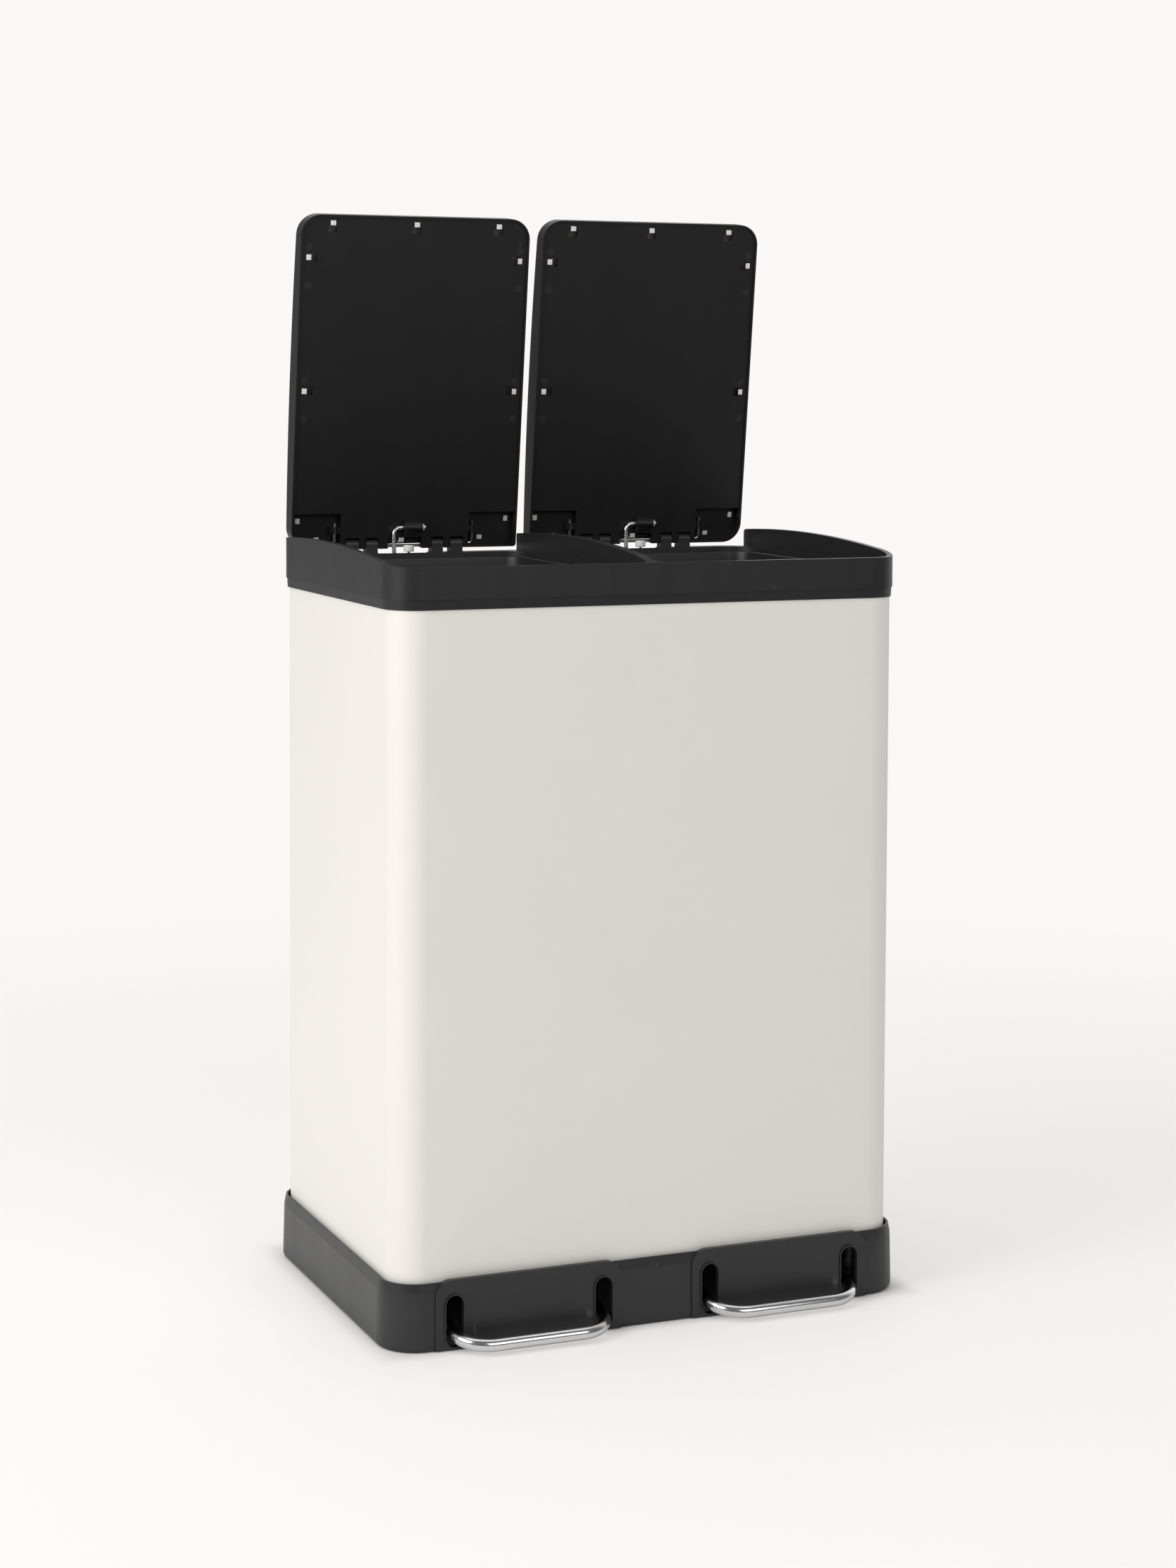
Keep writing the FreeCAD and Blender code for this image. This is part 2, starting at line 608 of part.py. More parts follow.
def tab_parts(side, across, at, fold, grow=0.0):
    """The upright strip of a tab and its folded foot, or the slot for it when grown."""
    x = side * LID_X + across
    y = HINGE[0] + LID_REAR - at
    floor = tab_floor(across, at)
    half, thin = TAB_WIDTH / 2 + grow, SKIN_SHEET / 2 + grow
    top = HINGE[1] - LID_FACE_BELOW + LID_EDGE_CROWN + 1
    if fold == "in":
        strip = block(x - thin, x + thin, y - half, y + half, floor - SKIN_SHEET, top)
        reach = -TAB_FOLD if across > 0 else TAB_FOLD
        foot = block(min(x, x + reach), max(x, x + reach), y - half, y + half, floor - SKIN_SHEET, floor)
    else:
        strip = block(x - half, x + half, y - thin, y + thin, floor - SKIN_SHEET, top)
        reach = TAB_FOLD if fold == "back" else -TAB_FOLD
        foot = block(x - half, x + half, min(y, y + reach), max(y, y + reach), floor - SKIN_SHEET, floor)
    return strip, foot


def tab_window(side, across, at, fold):
    """The opening just past the end of a folded tab, where a tool can reach it."""
    x = side * LID_X + across
    y = HINGE[0] + LID_REAR - at
    near = TAB_FOLD + WINDOW_GAP
    far = near + WINDOW_LONG
    face = HINGE[1] - LID_FACE_BELOW
    low, high = face - 1, face + PANEL_RECESS + PANEL_THICK + 0.5
    if fold == "in":
        inwards = -1 if across > 0 else 1
        x0, x1 = sorted((x + inwards * near, x + inwards * far))
        return block(x0, x1, y - WINDOW_HALF, y + WINDOW_HALF, low, high)
    return block(x - WINDOW_HALF, x + WINDOW_HALF, y + near, y + far, low, high)


def lid_skin(side):
    """The crowned steel cover, with tabs that reach through the liner and fold flat on it."""
    sheet = prism(grown(lid_plan(side), -SKIN_INSET), HINGE[1] - 10, HINGE[1] + 30)
    sheet = sheet.common(dome(side, 0)).cut(dome(side, SKIN_SHEET))
    parts = [sheet]
    for across, at, fold in tabs():
        strip, foot = tab_parts(side, across, at, fold)
        parts += [strip.common(dome(side, SKIN_SHEET / 2)), foot]
    return opened(union(parts))


def lid_liner(side):
    """Bordered tray with an inner panel, deep rear pockets, wire lugs and clips, and the rod boss."""
    x = side * LID_X
    axis_y, axis_z = HINGE
    rear = axis_y + LID_REAR
    face = axis_z - LID_FACE_BELOW
    shape = prism(lid_plan(side), face, face + 30).common(dome(side, 0))
    seat = prism(grown(lid_plan(side), -SKIN_INSET), face, face + 31).cut(dome(side, SKIN_SHEET))
    step_y = rear - STEP_AT
    hollow_low = face + PANEL_RECESS + PANEL_THICK
    hollow = prism(grown(lid_plan(side), -LID_BORDER), hollow_low, face + 31)
    pocket_roof = face + POCKET_DEEP + 2.0
    keep = []
    recess = []
    inner = grown(lid_plan(side), -2.0)
    for end in (-1, 1):
        near, far = x + end * (BLOCK_HALF - 2), x + end * LID_WIDTH
        keep.append(block(min(near, far), max(near, far), step_y - 2, rear + 1, face, pocket_roof))
        near = x + end * BLOCK_HALF
        box = block(min(near, far), max(near, far), step_y, rear + 1, face - 1, face + POCKET_DEEP)
        recess.append(box.common(prism(inner, face - 1, face + 20)))
    keep.append(block(x - HINGE_BAND_HALF, x + HINGE_BAND_HALF, axis_y - 9, rear + 1,
                      face, axis_z + HINGE_BAND_TOP))
    hollow = less(hollow, keep)
    panel = prism(inner, face - 1, face + PANEL_RECESS)
    shape = less(shape, [seat, hollow, panel] + recess)

    # Lugs round the hinge wire, clips for its ends, and the boss for the push rod.
    adds = []
    for end in (-1, 1):
        for near, far in ((18.0, 25.0), (58.5, 63.0)):
            x0, x1 = sorted((x + end * near, x + end * far))
            adds.append(along_x(x0, x1, axis_y, axis_z, 3.2))
            adds.append(block(x0, x1, axis_y - 3.2, axis_y + 3.2, axis_z, axis_z + 6))
        clip_x = x + end * WIRE_HALF
        adds.append(block(clip_x - 5, clip_x + 5, axis_y - 17.5, axis_y - 11,
                          axis_z - 2.6, pocket_roof - 1))
    boss_y, boss_z = closed_point(*BOSS)
    adds.append(along_x(x - 1.0, x - 1.0 + BOSS_LENGTH, boss_y, boss_z, BOSS_R))
    adds.append(along_x(x - 2.6, x - 1.0, boss_y, boss_z, BOSS_R + 1.5))
    adds.append(block(x - 2.6, x - 1.0 + BOSS_LENGTH, boss_y - BOSS_R, boss_y + BOSS_R,
                      boss_z, face + PANEL_RECESS + 1))
    shape = union([shape] + adds)

    cuts = [along_x(x - 70, x + 70, axis_y, axis_z, WIRE_R),
            along_x(x - 5, x + 20, boss_y, boss_z, ROD_R + RUNNING)]
    clear_low, clear_high = face - 2, axis_z + KNUCKLE_R + 0.8
    for at, width in KNUCKLES:
        cuts.append(block(x + at - width / 2 - 0.7, x + at + width / 2 + 0.7, axis_y - 6.8, rear + 1,
                          clear_low, clear_high))
    cuts.append(block(x - 16.5, x + 16.5, axis_y - 6.8, rear + 1, clear_low, axis_z + 3.0))
    for end in (-1, 1):
        clip_x = x + end * WIRE_HALF
        cuts.append(Part.makeCylinder(WIRE_R, WIRE_UP + 2, FreeCAD.Vector(clip_x, axis_y, axis_z),
                                      FreeCAD.Vector(0, -1, 0)))
        cuts.append(block(clip_x - 1.1, clip_x + 1.1, axis_y - 18, axis_y - 10, axis_z - 4, axis_z))
        inner_x, outer_x = sorted((clip_x + end * 2.2, clip_x - end * 4.2))
        cuts.append(block(inner_x, outer_x, axis_y - 3.5, axis_y + 1.9, axis_z - 1.9, axis_z + 1.9))
    for across, at, fold in tabs():
        strip, _ = tab_parts(side, across, at, fold, 0.3)
        cuts.append(strip.common(dome(side, SKIN_SHEET)))
        if at > STEP_AT:
            cuts.append(tab_window(side, across, at, fold))
    return opened(less(shape, cuts))


def closed_point(y, z):
    """Where a point of the open lid lies when the lid is closed."""
    turn = math.radians(LID_OPEN)
    dy, dz = y - HINGE[0], z - HINGE[1]
    return (HINGE[0] + dy * math.cos(turn) - dz * math.sin(turn),
            HINGE[1] + dy * math.sin(turn) + dz * math.cos(turn))


def hinge_wire(side):
    x = side * LID_X
    y, z = HINGE
    points = [(x - WIRE_HALF, y - WIRE_UP, z), (x - WIRE_HALF, y, z), (x + WIRE_HALF, y, z),
              (x + WIRE_HALF, y - WIRE_UP, z)]
    return opened(bent_rod(points, 2.6, WIRE_R, 3))


# ---------------------------------------------------------------- push rods and dampers

def push_rod(side):
    """From the lever's eye up behind the bucket, then round into the lid's boss."""
    x = side * LID_X
    rod_x = x + ROD_X
    points = [(x + 9.5, *ROD_FOOT), (rod_x, *ROD_FOOT), (rod_x, *BOSS), (x + BOSS_LENGTH + 3.2, *BOSS)]
    return bent_rod(points, 6.5, ROD_R, 3)


def rod_caps(side):
    """Push-on caps that keep the rod's two ends in the boss and in the lever."""
    x = side * LID_X
    caps = []
    for x0, (y, z) in ((x - 1.0 + BOSS_LENGTH + 0.4, BOSS), (x + 4.4, ROD_FOOT)):
        sleeve = along_x(x0, x0 + CAP_LENGTH, y, z, CAP_R)
        caps.append(sleeve.cut(along_x(x0 - 1, x0 + CAP_LENGTH + 1, y, z, ROD_R)))
    return Part.makeCompound(caps)


def damper_body(side):
    """The closed cylinder in the cradle, with a flange and a hole for the stem."""
    x, y = side * LID_X, SHELL_Y + DAMPER_Y
    shape = upright(x, y, 571, 618, DAMPER_BODY_R).fuse(upright(x, y, CRADLE_FLOOR + 3, 617, 8.0))
    return less(shape, [upright(x, y, 574, 615.5, 4.5), upright(x, y, 610, 620, 1.2 + RUNNING)])


def damper_stem(side):
    x, y = side * LID_X, SHELL_Y + DAMPER_Y
    return upright(x, y, 592, DAMPER_CAP_TOP - 2, 1.2).fuse(upright(x, y, 592, 596, 4.5 - RUNNING))


def damper_cap(side):
    """The white button on the damper's stem, with a softened top edge."""
    x, y = side * LID_X, SHELL_Y + DAMPER_Y
    low = DAMPER_CAP_TOP - DAMPER_CAP_TALL
    soft = 0.8
    crown = Part.makeCone(DAMPER_CAP_R, DAMPER_CAP_R - soft, soft,
                          FreeCAD.Vector(x, y, DAMPER_CAP_TOP - soft))
    shape = upright(x, y, low, DAMPER_CAP_TOP - soft, DAMPER_CAP_R).fuse(crown)
    return shape.cut(upright(x, y, low - 1, DAMPER_CAP_TOP - 2, 1.2))


# ---------------------------------------------------------------- pedals and levers

def pedal_points(side):
    x = side * LID_X
    bar_y = PIVOT[0] - math.hypot(PIVOT_Y - PEDAL_BAR_Y, PIVOT_Z - PEDAL_BAR_Z)
    arm_x = SLOT_PITCH / 2
    return [(x - arm_x, SHELL_Y + ARM_END, PIVOT[1]), (x - arm_x, bar_y, PIVOT[1]),
            (x + arm_x, bar_y, PIVOT[1]), (x + arm_x, SHELL_Y + ARM_END, PIVOT[1])]


def pedal_bar(side):
    """A U of round bar: two arms through the slots and a run for the foot."""
    return pressed(bent_rod(pedal_points(side), PEDAL_BEND, PEDAL_R, 5))


def pedal_lever(side):
    """Yoke with sockets for the bar, hub on the axle, and a tapered arm to the push rod's eye."""
    x = side * LID_X
    y, z = PIVOT
    solids = [along_x(x - YOKE_HALF, x + YOKE_HALF, y, z, HUB_R)]
    for end in (-1, 1):
        arm_x = x + end * SLOT_PITCH / 2
        solids.append(Part.makeCylinder(HUB_R, 44, FreeCAD.Vector(arm_x, SHELL_Y + ARM_END - 24, z),
                                        FreeCAD.Vector(0, 1, 0)))
        solids.append(block(arm_x - 4, arm_x + 4, SHELL_Y + ARM_END + 4, y, z - 7, z + 7))
    solids.append(block(x - SLOT_PITCH / 2, x + SLOT_PITCH / 2, y - 30, y - 24, z - 6, z + 6))
    solids.append(block(x - SLOT_PITCH / 2, x + SLOT_PITCH / 2, y - 30, y, z - 1.5, z + 1.5))
    reach = math.hypot(ROD_FOOT_Y - PIVOT_Y, ROD_FOOT_Z - PIVOT_Z)
    tip = y + reach + 1.8
    arm = side_view([((y, z - 7), (tip, z - 5)), ((tip, z - 5), (tip + 3.5, z + 1), (tip, z + 7)),
                     ((tip, z + 7), (y, z + 7.2)), ((y, z + 7.2), (y, z - 7))], x - 8, x + 4)
    solids.append(arm)
    for inner in (x - 8.1, x + 1.6):
        lighten = side_view([((y + 14, z - 5), (y + reach - 14, z - 3)),
                             ((y + reach - 14, z - 3), (y + reach - 14, z + 4.5)),
                             ((y + reach - 14, z + 4.5), (y + 14, z + 5)),
                             ((y + 14, z + 5), (y + 14, z - 5))], inner, inner + 2.5 + 0.1)
        solids[-1] = solids[-1].cut(lighten)
    shape = union(solids)
    bores = [along_x(x - 90, x + 90, y, z, AXLE_R + RUNNING)]
    for end in (-1, 1):
        arm_x = x + end * SLOT_PITCH / 2
        bores.append(Part.makeCylinder(PEDAL_R, 40, FreeCAD.Vector(arm_x, SHELL_Y + ARM_END - 40, z),
                                       FreeCAD.Vector(0, 1, 0)))
    shape = pressed(less(shape, bores))
    eye_y, eye_z = ROD_FOOT[0] - LEVER_EYE_BACK, ROD_FOOT[1] + LEVER_EYE_UP
    straight = EYE_HALF_LONG - EYE_HALF_HIGH
    eye = [block(x - 20, x + 20, eye_y - straight, eye_y + straight,
                 eye_z - EYE_HALF_HIGH, eye_z + EYE_HALF_HIGH)]
    eye += [along_x(x - 20, x + 20, eye_y + end * straight, eye_z, EYE_HALF_HIGH) for end in (-1, 1)]
    return less(shape, eye)


def lever_axle(side):
    """A steel pin between the lugs, with a head at one end and a push-on washer at the other."""
    x = side * LID_X
    y, z = PIVOT
    pin = along_x(x - 84.5, x + 84.5, y, z, AXLE_R)
    return union([pin, along_x(x - 84.5, x - 82, y, z, 6.5), along_x(x + 82, x + 83.2, y, z, 6.5)])


# ---------------------------------------------------------------- buckets and bails

def bucket_level(side, z, inside):
    """The tapered wall's outline at height z, moved inwards by inside."""
    down = (BUCKET_TOP - z) / (BUCKET_TOP - DECK_TOP)
    return grown(mouth(side), -BUCKET_GAP - BUCKET_FLANGE - BUCKET_TAPER * down - inside)


def tub(side, inside, floor, top):
    """A closed tub shape with a sloping edge round its floor."""
    bevel = 5.0
    return stacked([(bucket_level(side, floor, inside + bevel - 1), floor),
                    (bucket_level(side, floor + bevel, inside), floor + bevel),
                    (bucket_level(side, top, inside), top)])


def bucket(side):
    """Tapered tub that stands on the deck, with a turned-down flange inside the mouth."""
    outer = tub(side, 0.0, DECK_TOP, BUCKET_TOP)
    inner = tub(side, BUCKET_WALL, DECK_TOP + 2.5, BUCKET_TOP + 5)
    rim_edge = grown(mouth(side), -BUCKET_GAP)
    flange = prism(rim_edge, BUCKET_TOP - 7, BUCKET_TOP)
    under = prism(grown(rim_edge, -1.5), BUCKET_TOP - 8, BUCKET_TOP - 1.8)
    lip = flange.cut(under)
    shape = outer.fuse(lip).cut(inner)
    y = SHELL_Y + MOUTH_Y
    x = side * MOUTH_X
    hole = along_x(x - 120, x + 120, y, BAIL_Z, BAIL_R + RUNNING)
    return less(shape, [hole])


def bail_points(side):
    """The bail lies folded to the rear, just inside the bucket's walls."""
    x, y = side * MOUTH_X, SHELL_Y + MOUTH_Y
    half_in = MOUTH_WIDTH / 2 - BUCKET_GAP - BUCKET_FLANGE - BUCKET_WALL - 3.5
    half_out = half_in + 6.3
    return [(x - half_out, y, BAIL_Z), (x - half_in, y, BAIL_Z), (x - half_in, y + BAIL_REACH, BAIL_Z),
            (x + half_in, y + BAIL_REACH, BAIL_Z), (x + half_in, y, BAIL_Z), (x + half_out, y, BAIL_Z)]


def bail(side):
    """A wire handle whose bent ends turn in the bucket's sides."""
    return bent_rod(bail_points(side), 3.0, BAIL_R, 3)


def bail_grip(side):
    """A moulded sleeve on the middle of the bail."""
    x, y = side * MOUTH_X, SHELL_Y + MOUTH_Y + BAIL_REACH
    half, r, soft = 42.0, 5.0, 1.2
    parts = [along_x(x - half + soft, x + half - soft, y, BAIL_Z, r)]
    for end in (-1, 1):
        parts.append(Part.makeCone(r, r - soft, soft, FreeCAD.Vector(x + end * (half - soft), y, BAIL_Z),
                                   FreeCAD.Vector(end, 0, 0)))
    return union(parts).cut(along_x(x - half - 1, x + half + 1, y, BAIL_Z, BAIL_R))


# ---------------------------------------------------------------- export

def pieces():
    made = {
        "body_shell": body_shell(),
        "base_tray": base_tray(),
        "foot_pads": foot_pads(),
        "base_screws": screws(SHELL_BOTTOM - BASE_WALL, 9.0),
        "rim_screws": screws(SHELL_TOP - SHELL_SHEET, 9.5),
        "top_rim": top_rim(),
    }
    makers = (lid_liner, lid_skin, hinge_wire, push_rod, rod_caps, damper_body, damper_stem, damper_cap,
              pedal_bar, pedal_lever, lever_axle, bucket, bail, bail_grip)
    for name, side in SIDES:
        for maker in makers:
            made[maker.__name__ + "_" + name] = maker(side)
    return made


def main():
    os.makedirs("parts", exist_ok=True)
    for name, shape in pieces().items():
        shape.exportStep("parts/" + name + ".step")
        box = shape.BoundBox
        print(f"{name:20s} solids {len(shape.Solids)} valid {shape.isValid()} "
              f"volume {shape.Volume / 1000:9.2f} cm3 "
              f"y {box.YMin:8.2f} {box.YMax:8.2f} z {box.ZMin:7.2f} {box.ZMax:7.2f}")


if __name__ == "__main__":
    main()
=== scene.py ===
import math

import bpy
import numpy as np
from bpy.props import FloatProperty, FloatVectorProperty, PointerProperty
from mathutils import Matrix, Vector


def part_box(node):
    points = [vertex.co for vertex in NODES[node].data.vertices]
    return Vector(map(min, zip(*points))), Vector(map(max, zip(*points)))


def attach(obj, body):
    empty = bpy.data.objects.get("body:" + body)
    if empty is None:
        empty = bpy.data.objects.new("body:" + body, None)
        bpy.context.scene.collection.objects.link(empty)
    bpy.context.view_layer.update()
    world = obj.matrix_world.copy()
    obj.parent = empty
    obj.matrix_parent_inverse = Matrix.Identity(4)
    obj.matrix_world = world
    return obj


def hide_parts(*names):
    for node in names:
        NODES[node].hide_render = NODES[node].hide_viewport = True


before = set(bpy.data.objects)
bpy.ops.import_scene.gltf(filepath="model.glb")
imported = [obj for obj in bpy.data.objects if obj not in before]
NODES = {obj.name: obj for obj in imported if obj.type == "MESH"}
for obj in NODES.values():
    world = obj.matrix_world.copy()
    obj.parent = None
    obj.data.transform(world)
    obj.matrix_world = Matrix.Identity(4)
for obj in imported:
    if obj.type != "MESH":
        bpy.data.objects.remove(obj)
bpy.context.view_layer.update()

bl_info = {
    "name": "Double recycling bin",
    "version": (1, 0, 0),
    "blender": (4, 5, 0),
    "location": "View3D > Sidebar > Bin",
    "description": "Surfaces, finishes and stage for a double pedal bin with two lids",
    "category": "Object",
}

SIDES = (("left", -1), ("right", 1))
MM = 0.001

# Shared sizes, in millimetres in the frame of the solids: +X right, +Y rear, +Z up.
SHELL_LOW, SHELL_HIGH = (np.array(corner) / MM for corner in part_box("body_shell"))
MID_Y = (SHELL_LOW[1] + SHELL_HIGH[1]) / 2
POLE = 0.01                       # a lathe form starts this far from its axis, where a cap closes it

# Lids: each is drawn closed and then turned open about the hinge line.
LID_X = 117.0                     # the middle of a lid, from the middle of the bin
LID_DEEP = 306.8
LID_OPEN = math.radians(83.16)
HINGE_Y, HINGE_Z = MID_Y + 158.7, 653.3
REAR_LIP = 3.4                    # the rear edge, behind the hinge line
FACE_Z = HINGE_Z - 5.2            # the lining's face
SIDE_TAB = 104.0                  # the side tabs, from the lid's middle
SIDE_TAB_ROWS = (25.5, 146.5, 268.0)    # and from its rear edge
SIDE_TAB_PITCH = 121.25
PIN_MARK_R, PIN_MARK_IN = 3.4, 2.0      # the ejector pins' discs, inwards of the side tabs
PIN_MARK_AT = (9.0, -26.0)        # and along the lid from them


# ---------------------------------------------------------------- sizes and colours

class BinSizes(bpy.types.PropertyGroup):
    """Sizes and colours of the bin's visible surfaces."""
    corner: FloatProperty(name="Shell corner", description="Outer radius of the shell's upright corners",
                          default=28.0 * MM, min=0.01, max=0.06, unit="LENGTH")
    sheet: FloatProperty(name="Shell sheet", description="Thickness of the shell's steel",
                         default=0.6 * MM, min=0.0003, max=0.002, unit="LENGTH")
    soft_edge: FloatProperty(name="Moulded edge", description="Radius of the mouldings' rounded edges",
                             default=0.7 * MM, min=0.0001, max=0.003, unit="LENGTH")
    bar: FloatProperty(name="Foot bar", description="Diameter of the pedals' round bar",
                       default=11.0 * MM, min=0.006, max=0.02, unit="LENGTH")
    cream: FloatVectorProperty(name="Powder coat", description="Colour of the painted steel",
                               default=(0.800, 0.768, 0.722), subtype="COLOR", min=0, max=1)
    dark: FloatVectorProperty(name="Mouldings", description="Colour of the rim and base",
                              default=(0.0170, 0.0170, 0.0176), subtype="COLOR", min=0, max=1)
    inner: FloatVectorProperty(name="Lid linings", description="Colour of the lids' inner sides",
                               default=(0.0065, 0.0065, 0.0067), subtype="COLOR", min=0, max=1)


# ---------------------------------------------------------------- shader maths

class Value:
    """A socket in a material; Python operators on it add Math nodes."""

    def __init__(self, finish, socket):
        self.finish, self.socket = finish, socket

    def maths(self, operation, *values):
        return self.finish.node("ShaderNodeMath", {"operation": operation}, *values)

    def __add__(self, other):
        return self.maths("ADD", self, other)

    def __radd__(self, other):
        return self.maths("ADD", other, self)

    def __sub__(self, other):
        return self.maths("SUBTRACT", self, other)

    def __rsub__(self, other):
        return self.maths("SUBTRACT", other, self)

    def __mul__(self, other):
        return self.maths("MULTIPLY", self, other)

    def __rmul__(self, other):
        return self.maths("MULTIPLY", other, self)

    def __truediv__(self, other):
        return self.maths("DIVIDE", self, other)

    def __abs__(self):
        return self.maths("ABSOLUTE", self)

    def root(self):
        return self.maths("SQRT", self)

    def larger(self, other):
        return self.maths("MAXIMUM", self, other)

    def wrapped(self, low, high):
        """The value brought back between two limits, again and again."""
        return self.maths("WRAP", self, high, low)

    def over(self, edge, softness):
        """0 below the edge and 1 above it, with a soft step."""
        return self.finish.node("ShaderNodeMapRange", {"interpolation_type": "SMOOTHSTEP"},
                                self, edge - softness, edge + softness, 0.0, 1.0)


class Graph:
    """A node tree, and the methods that add its nodes and fill their sockets."""

    def __init__(self, tree):
        self.tree = tree

    def node(self, kind, settings, *inputs, out=0, **named):
        """Adds a node, sets what it is first, then fills its sockets in order and by name."""
        made = self.tree.nodes.new(kind)
        for key, value in settings.items():
            setattr(made, key, value)
        free = [socket for socket in made.inputs if socket.enabled]
        for socket, value in list(zip(free, inputs)) + [(made.inputs[k], v) for k, v in named.items()]:
            self.fill(socket, value)
        shown = [socket for socket in made.outputs if socket.enabled]
        return Value(self, shown[out] if isinstance(out, int) else made.outputs[out])

    def fill(self, socket, value):
        if isinstance(value, Value):
            self.tree.links.new(value.socket, socket)
        elif value is not None:
            socket.default_value = value

    def ray(self, kind):
        """1 for rays of one kind: those from the camera, or those off a glossy surface."""
        return self.node("ShaderNodeLightPath", {}, out="Is " + kind + " Ray")

    def axes(self, vector, letters):
        """The named components of a vector."""
        return [self.node("ShaderNodeSeparateXYZ", {}, vector, out=letter) for letter in letters]


class Finish(Graph):
    """A material with one Principled shader, and the helpers that feed it."""

    def __init__(self, name, colour, rough, metal=0.0, **fixed):
        self.material = bpy.data.materials.new(name)
        self.material.use_nodes = True
        super().__init__(self.material.node_tree)
        self.shader = self.tree.nodes["Principled BSDF"]
        self.set("Base Color", (*colour, 1.0))
        self.set("Roughness", rough)
        self.set("Metallic", metal)
        for socket, value in fixed.items():
            self.set(socket.replace("_", " "), value)
        self.material.diffuse_color = (*colour, 1.0)

    def set(self, socket, value):
        self.fill(self.shader.inputs[socket], value)

    def place(self, stretch=(1.0, 1.0, 1.0), turn=(0.0, 0.0, 0.0)):
        """The surface's own coordinates in metres, stretched."""
        at = self.node("ShaderNodeTexCoord", {}, out="Object")
        return self.node("ShaderNodeMapping", {}, Vector=at, Rotation=turn, Scale=stretch)

    def noise(self, scale, detail=3.0, rough=0.55, stretch=(1.0, 1.0, 1.0), turn=(0.0, 0.0, 0.0)):
        return self.node("ShaderNodeTexNoise", {}, Vector=self.place(stretch, turn), Scale=scale,
                         Detail=detail, Roughness=rough, out="Fac")

    def cells(self, scale, stretch=(1.0, 1.0, 1.0)):
        """Distance to the nearest of scattered points, for specks and pits."""
        return self.node("ShaderNodeTexVoronoi", {}, Vector=self.place(stretch), Scale=scale, out="Distance")

    def blend(self, share, low, high):
        """A colour between two, by a share that changes over the surface."""
        made = self.tree.nodes.new("ShaderNodeMix")
        made.data_type = "RGBA"
        self.fill(made.inputs["Factor"], share)
        for socket, value in ((made.inputs[6], low), (made.inputs[7], high)):
            self.fill(socket, value if isinstance(value, Value) else (*value, 1.0))
        return Value(self, made.outputs[2])

    def bump(self, height, strength, distance):
        normal = self.node("ShaderNodeBump", {}, Strength=strength, Distance=distance, Height=height)
        self.set("Normal", normal)

    def specks(self, scale, size, amount):
        """Scattered small spots: near a cell's point, and only where a coarse noise lets them through."""
        near = 1.0 - self.cells(scale).over(size, size * 0.35)
        return near * self.noise(scale * 0.37, 1.0).over(amount, 0.02)


def shade(colour, factor):
    return tuple(min(c * factor, 1.0) for c in colour)


def powder_coat(name, colour):
    """Satin powder coat: faint orange peel, a little cloudiness, and rare dust."""
    f = Finish(name, colour, 0.42, IOR=1.5)
    cloud = f.noise(9.0, 2.0)
    peel = f.noise(620.0, 2.0, 0.5)
    fine = f.noise(2600.0, 2.0, 0.6)
    dust = f.specks(170.0, 0.05, 0.62)
    tone = f.blend(cloud, shade(colour, 0.985), shade(colour, 1.012))
    f.set("Base Color", f.blend(dust * 0.35, tone, shade(colour, 0.80)))
    f.set("Roughness", 0.36 + cloud * 0.08 + fine * 0.06)
    f.bump(peel * 0.7 + fine * 0.3, 0.16, 0.00012)
    return f.material


def pin_marks(f):
    """Discs that the ejector pins left above and below each side tab of an open lid's lining.

    Distance from a disc's centre = root(aside squared + rise squared), where rise repeats with the tabs.
    """
    x, z = f.axes(f.place(), "XZ")
    aside = abs(abs(x) - LID_X * MM) - (SIDE_TAB - PIN_MARK_IN) * MM
    along = (z - HINGE_Z * MM) / math.sin(LID_OPEN) + (REAR_LIP - SIDE_TAB_ROWS[0]) * MM
    from_tab = along.wrapped(-SIDE_TAB_PITCH * MM / 2, SIDE_TAB_PITCH * MM / 2)
    marks = 0.0
    for offset in PIN_MARK_AT:
        rise = from_tab - offset * MM
        away = (aside * aside + rise * rise).root()
        marks = (1.0 - away.over(PIN_MARK_R * MM, 0.00015)) + marks
    return marks * along.over(0.05, 0.01)


def moulded(name, colour, rough=0.37, dust=0.55, scuffs=0.4, pins=False):
    """Dark moulded plastic: spark-eroded grain, flow clouds, light scuffs and pale dust."""
    f = Finish(name, colour, rough, IOR=1.49)
    grain = f.noise(1900.0, 3.0, 0.65)
    pits = f.cells(1500.0)
    cloud = f.noise(14.0, 3.0)
    streak = f.noise(55.0, 2.0, 0.5, stretch=(1.0, 1.0, 0.08))
    scratch = f.noise(420.0, 1.0, 0.5, stretch=(0.5, 0.5, 0.09), turn=(0.3, 0.5, 0.6)).over(0.80, 0.015)
    handled = f.noise(38.0, 3.0, 0.6).over(0.60, 0.06)
    speck = f.specks(900.0, 0.13, 0.50) * (handled * 0.8 + 0.08)
    marks = scratch * scuffs + speck * dust
    tone = f.blend(cloud * 0.6 + streak * 0.4, shade(colour, 0.80), shade(colour, 1.22))
    if pins:
        tone = f.blend(pin_marks(f) * 0.8, tone, shade(colour, 3.0))
    f.set("Base Color", f.blend(marks, tone, (0.16, 0.16, 0.16)))
    f.set("Roughness", rough - 0.08 + grain * 0.10 + streak * 0.10 + marks * 0.2)
    f.bump(grain * 0.6 + pits * 0.5, 0.16, 0.00007)
    return f.material


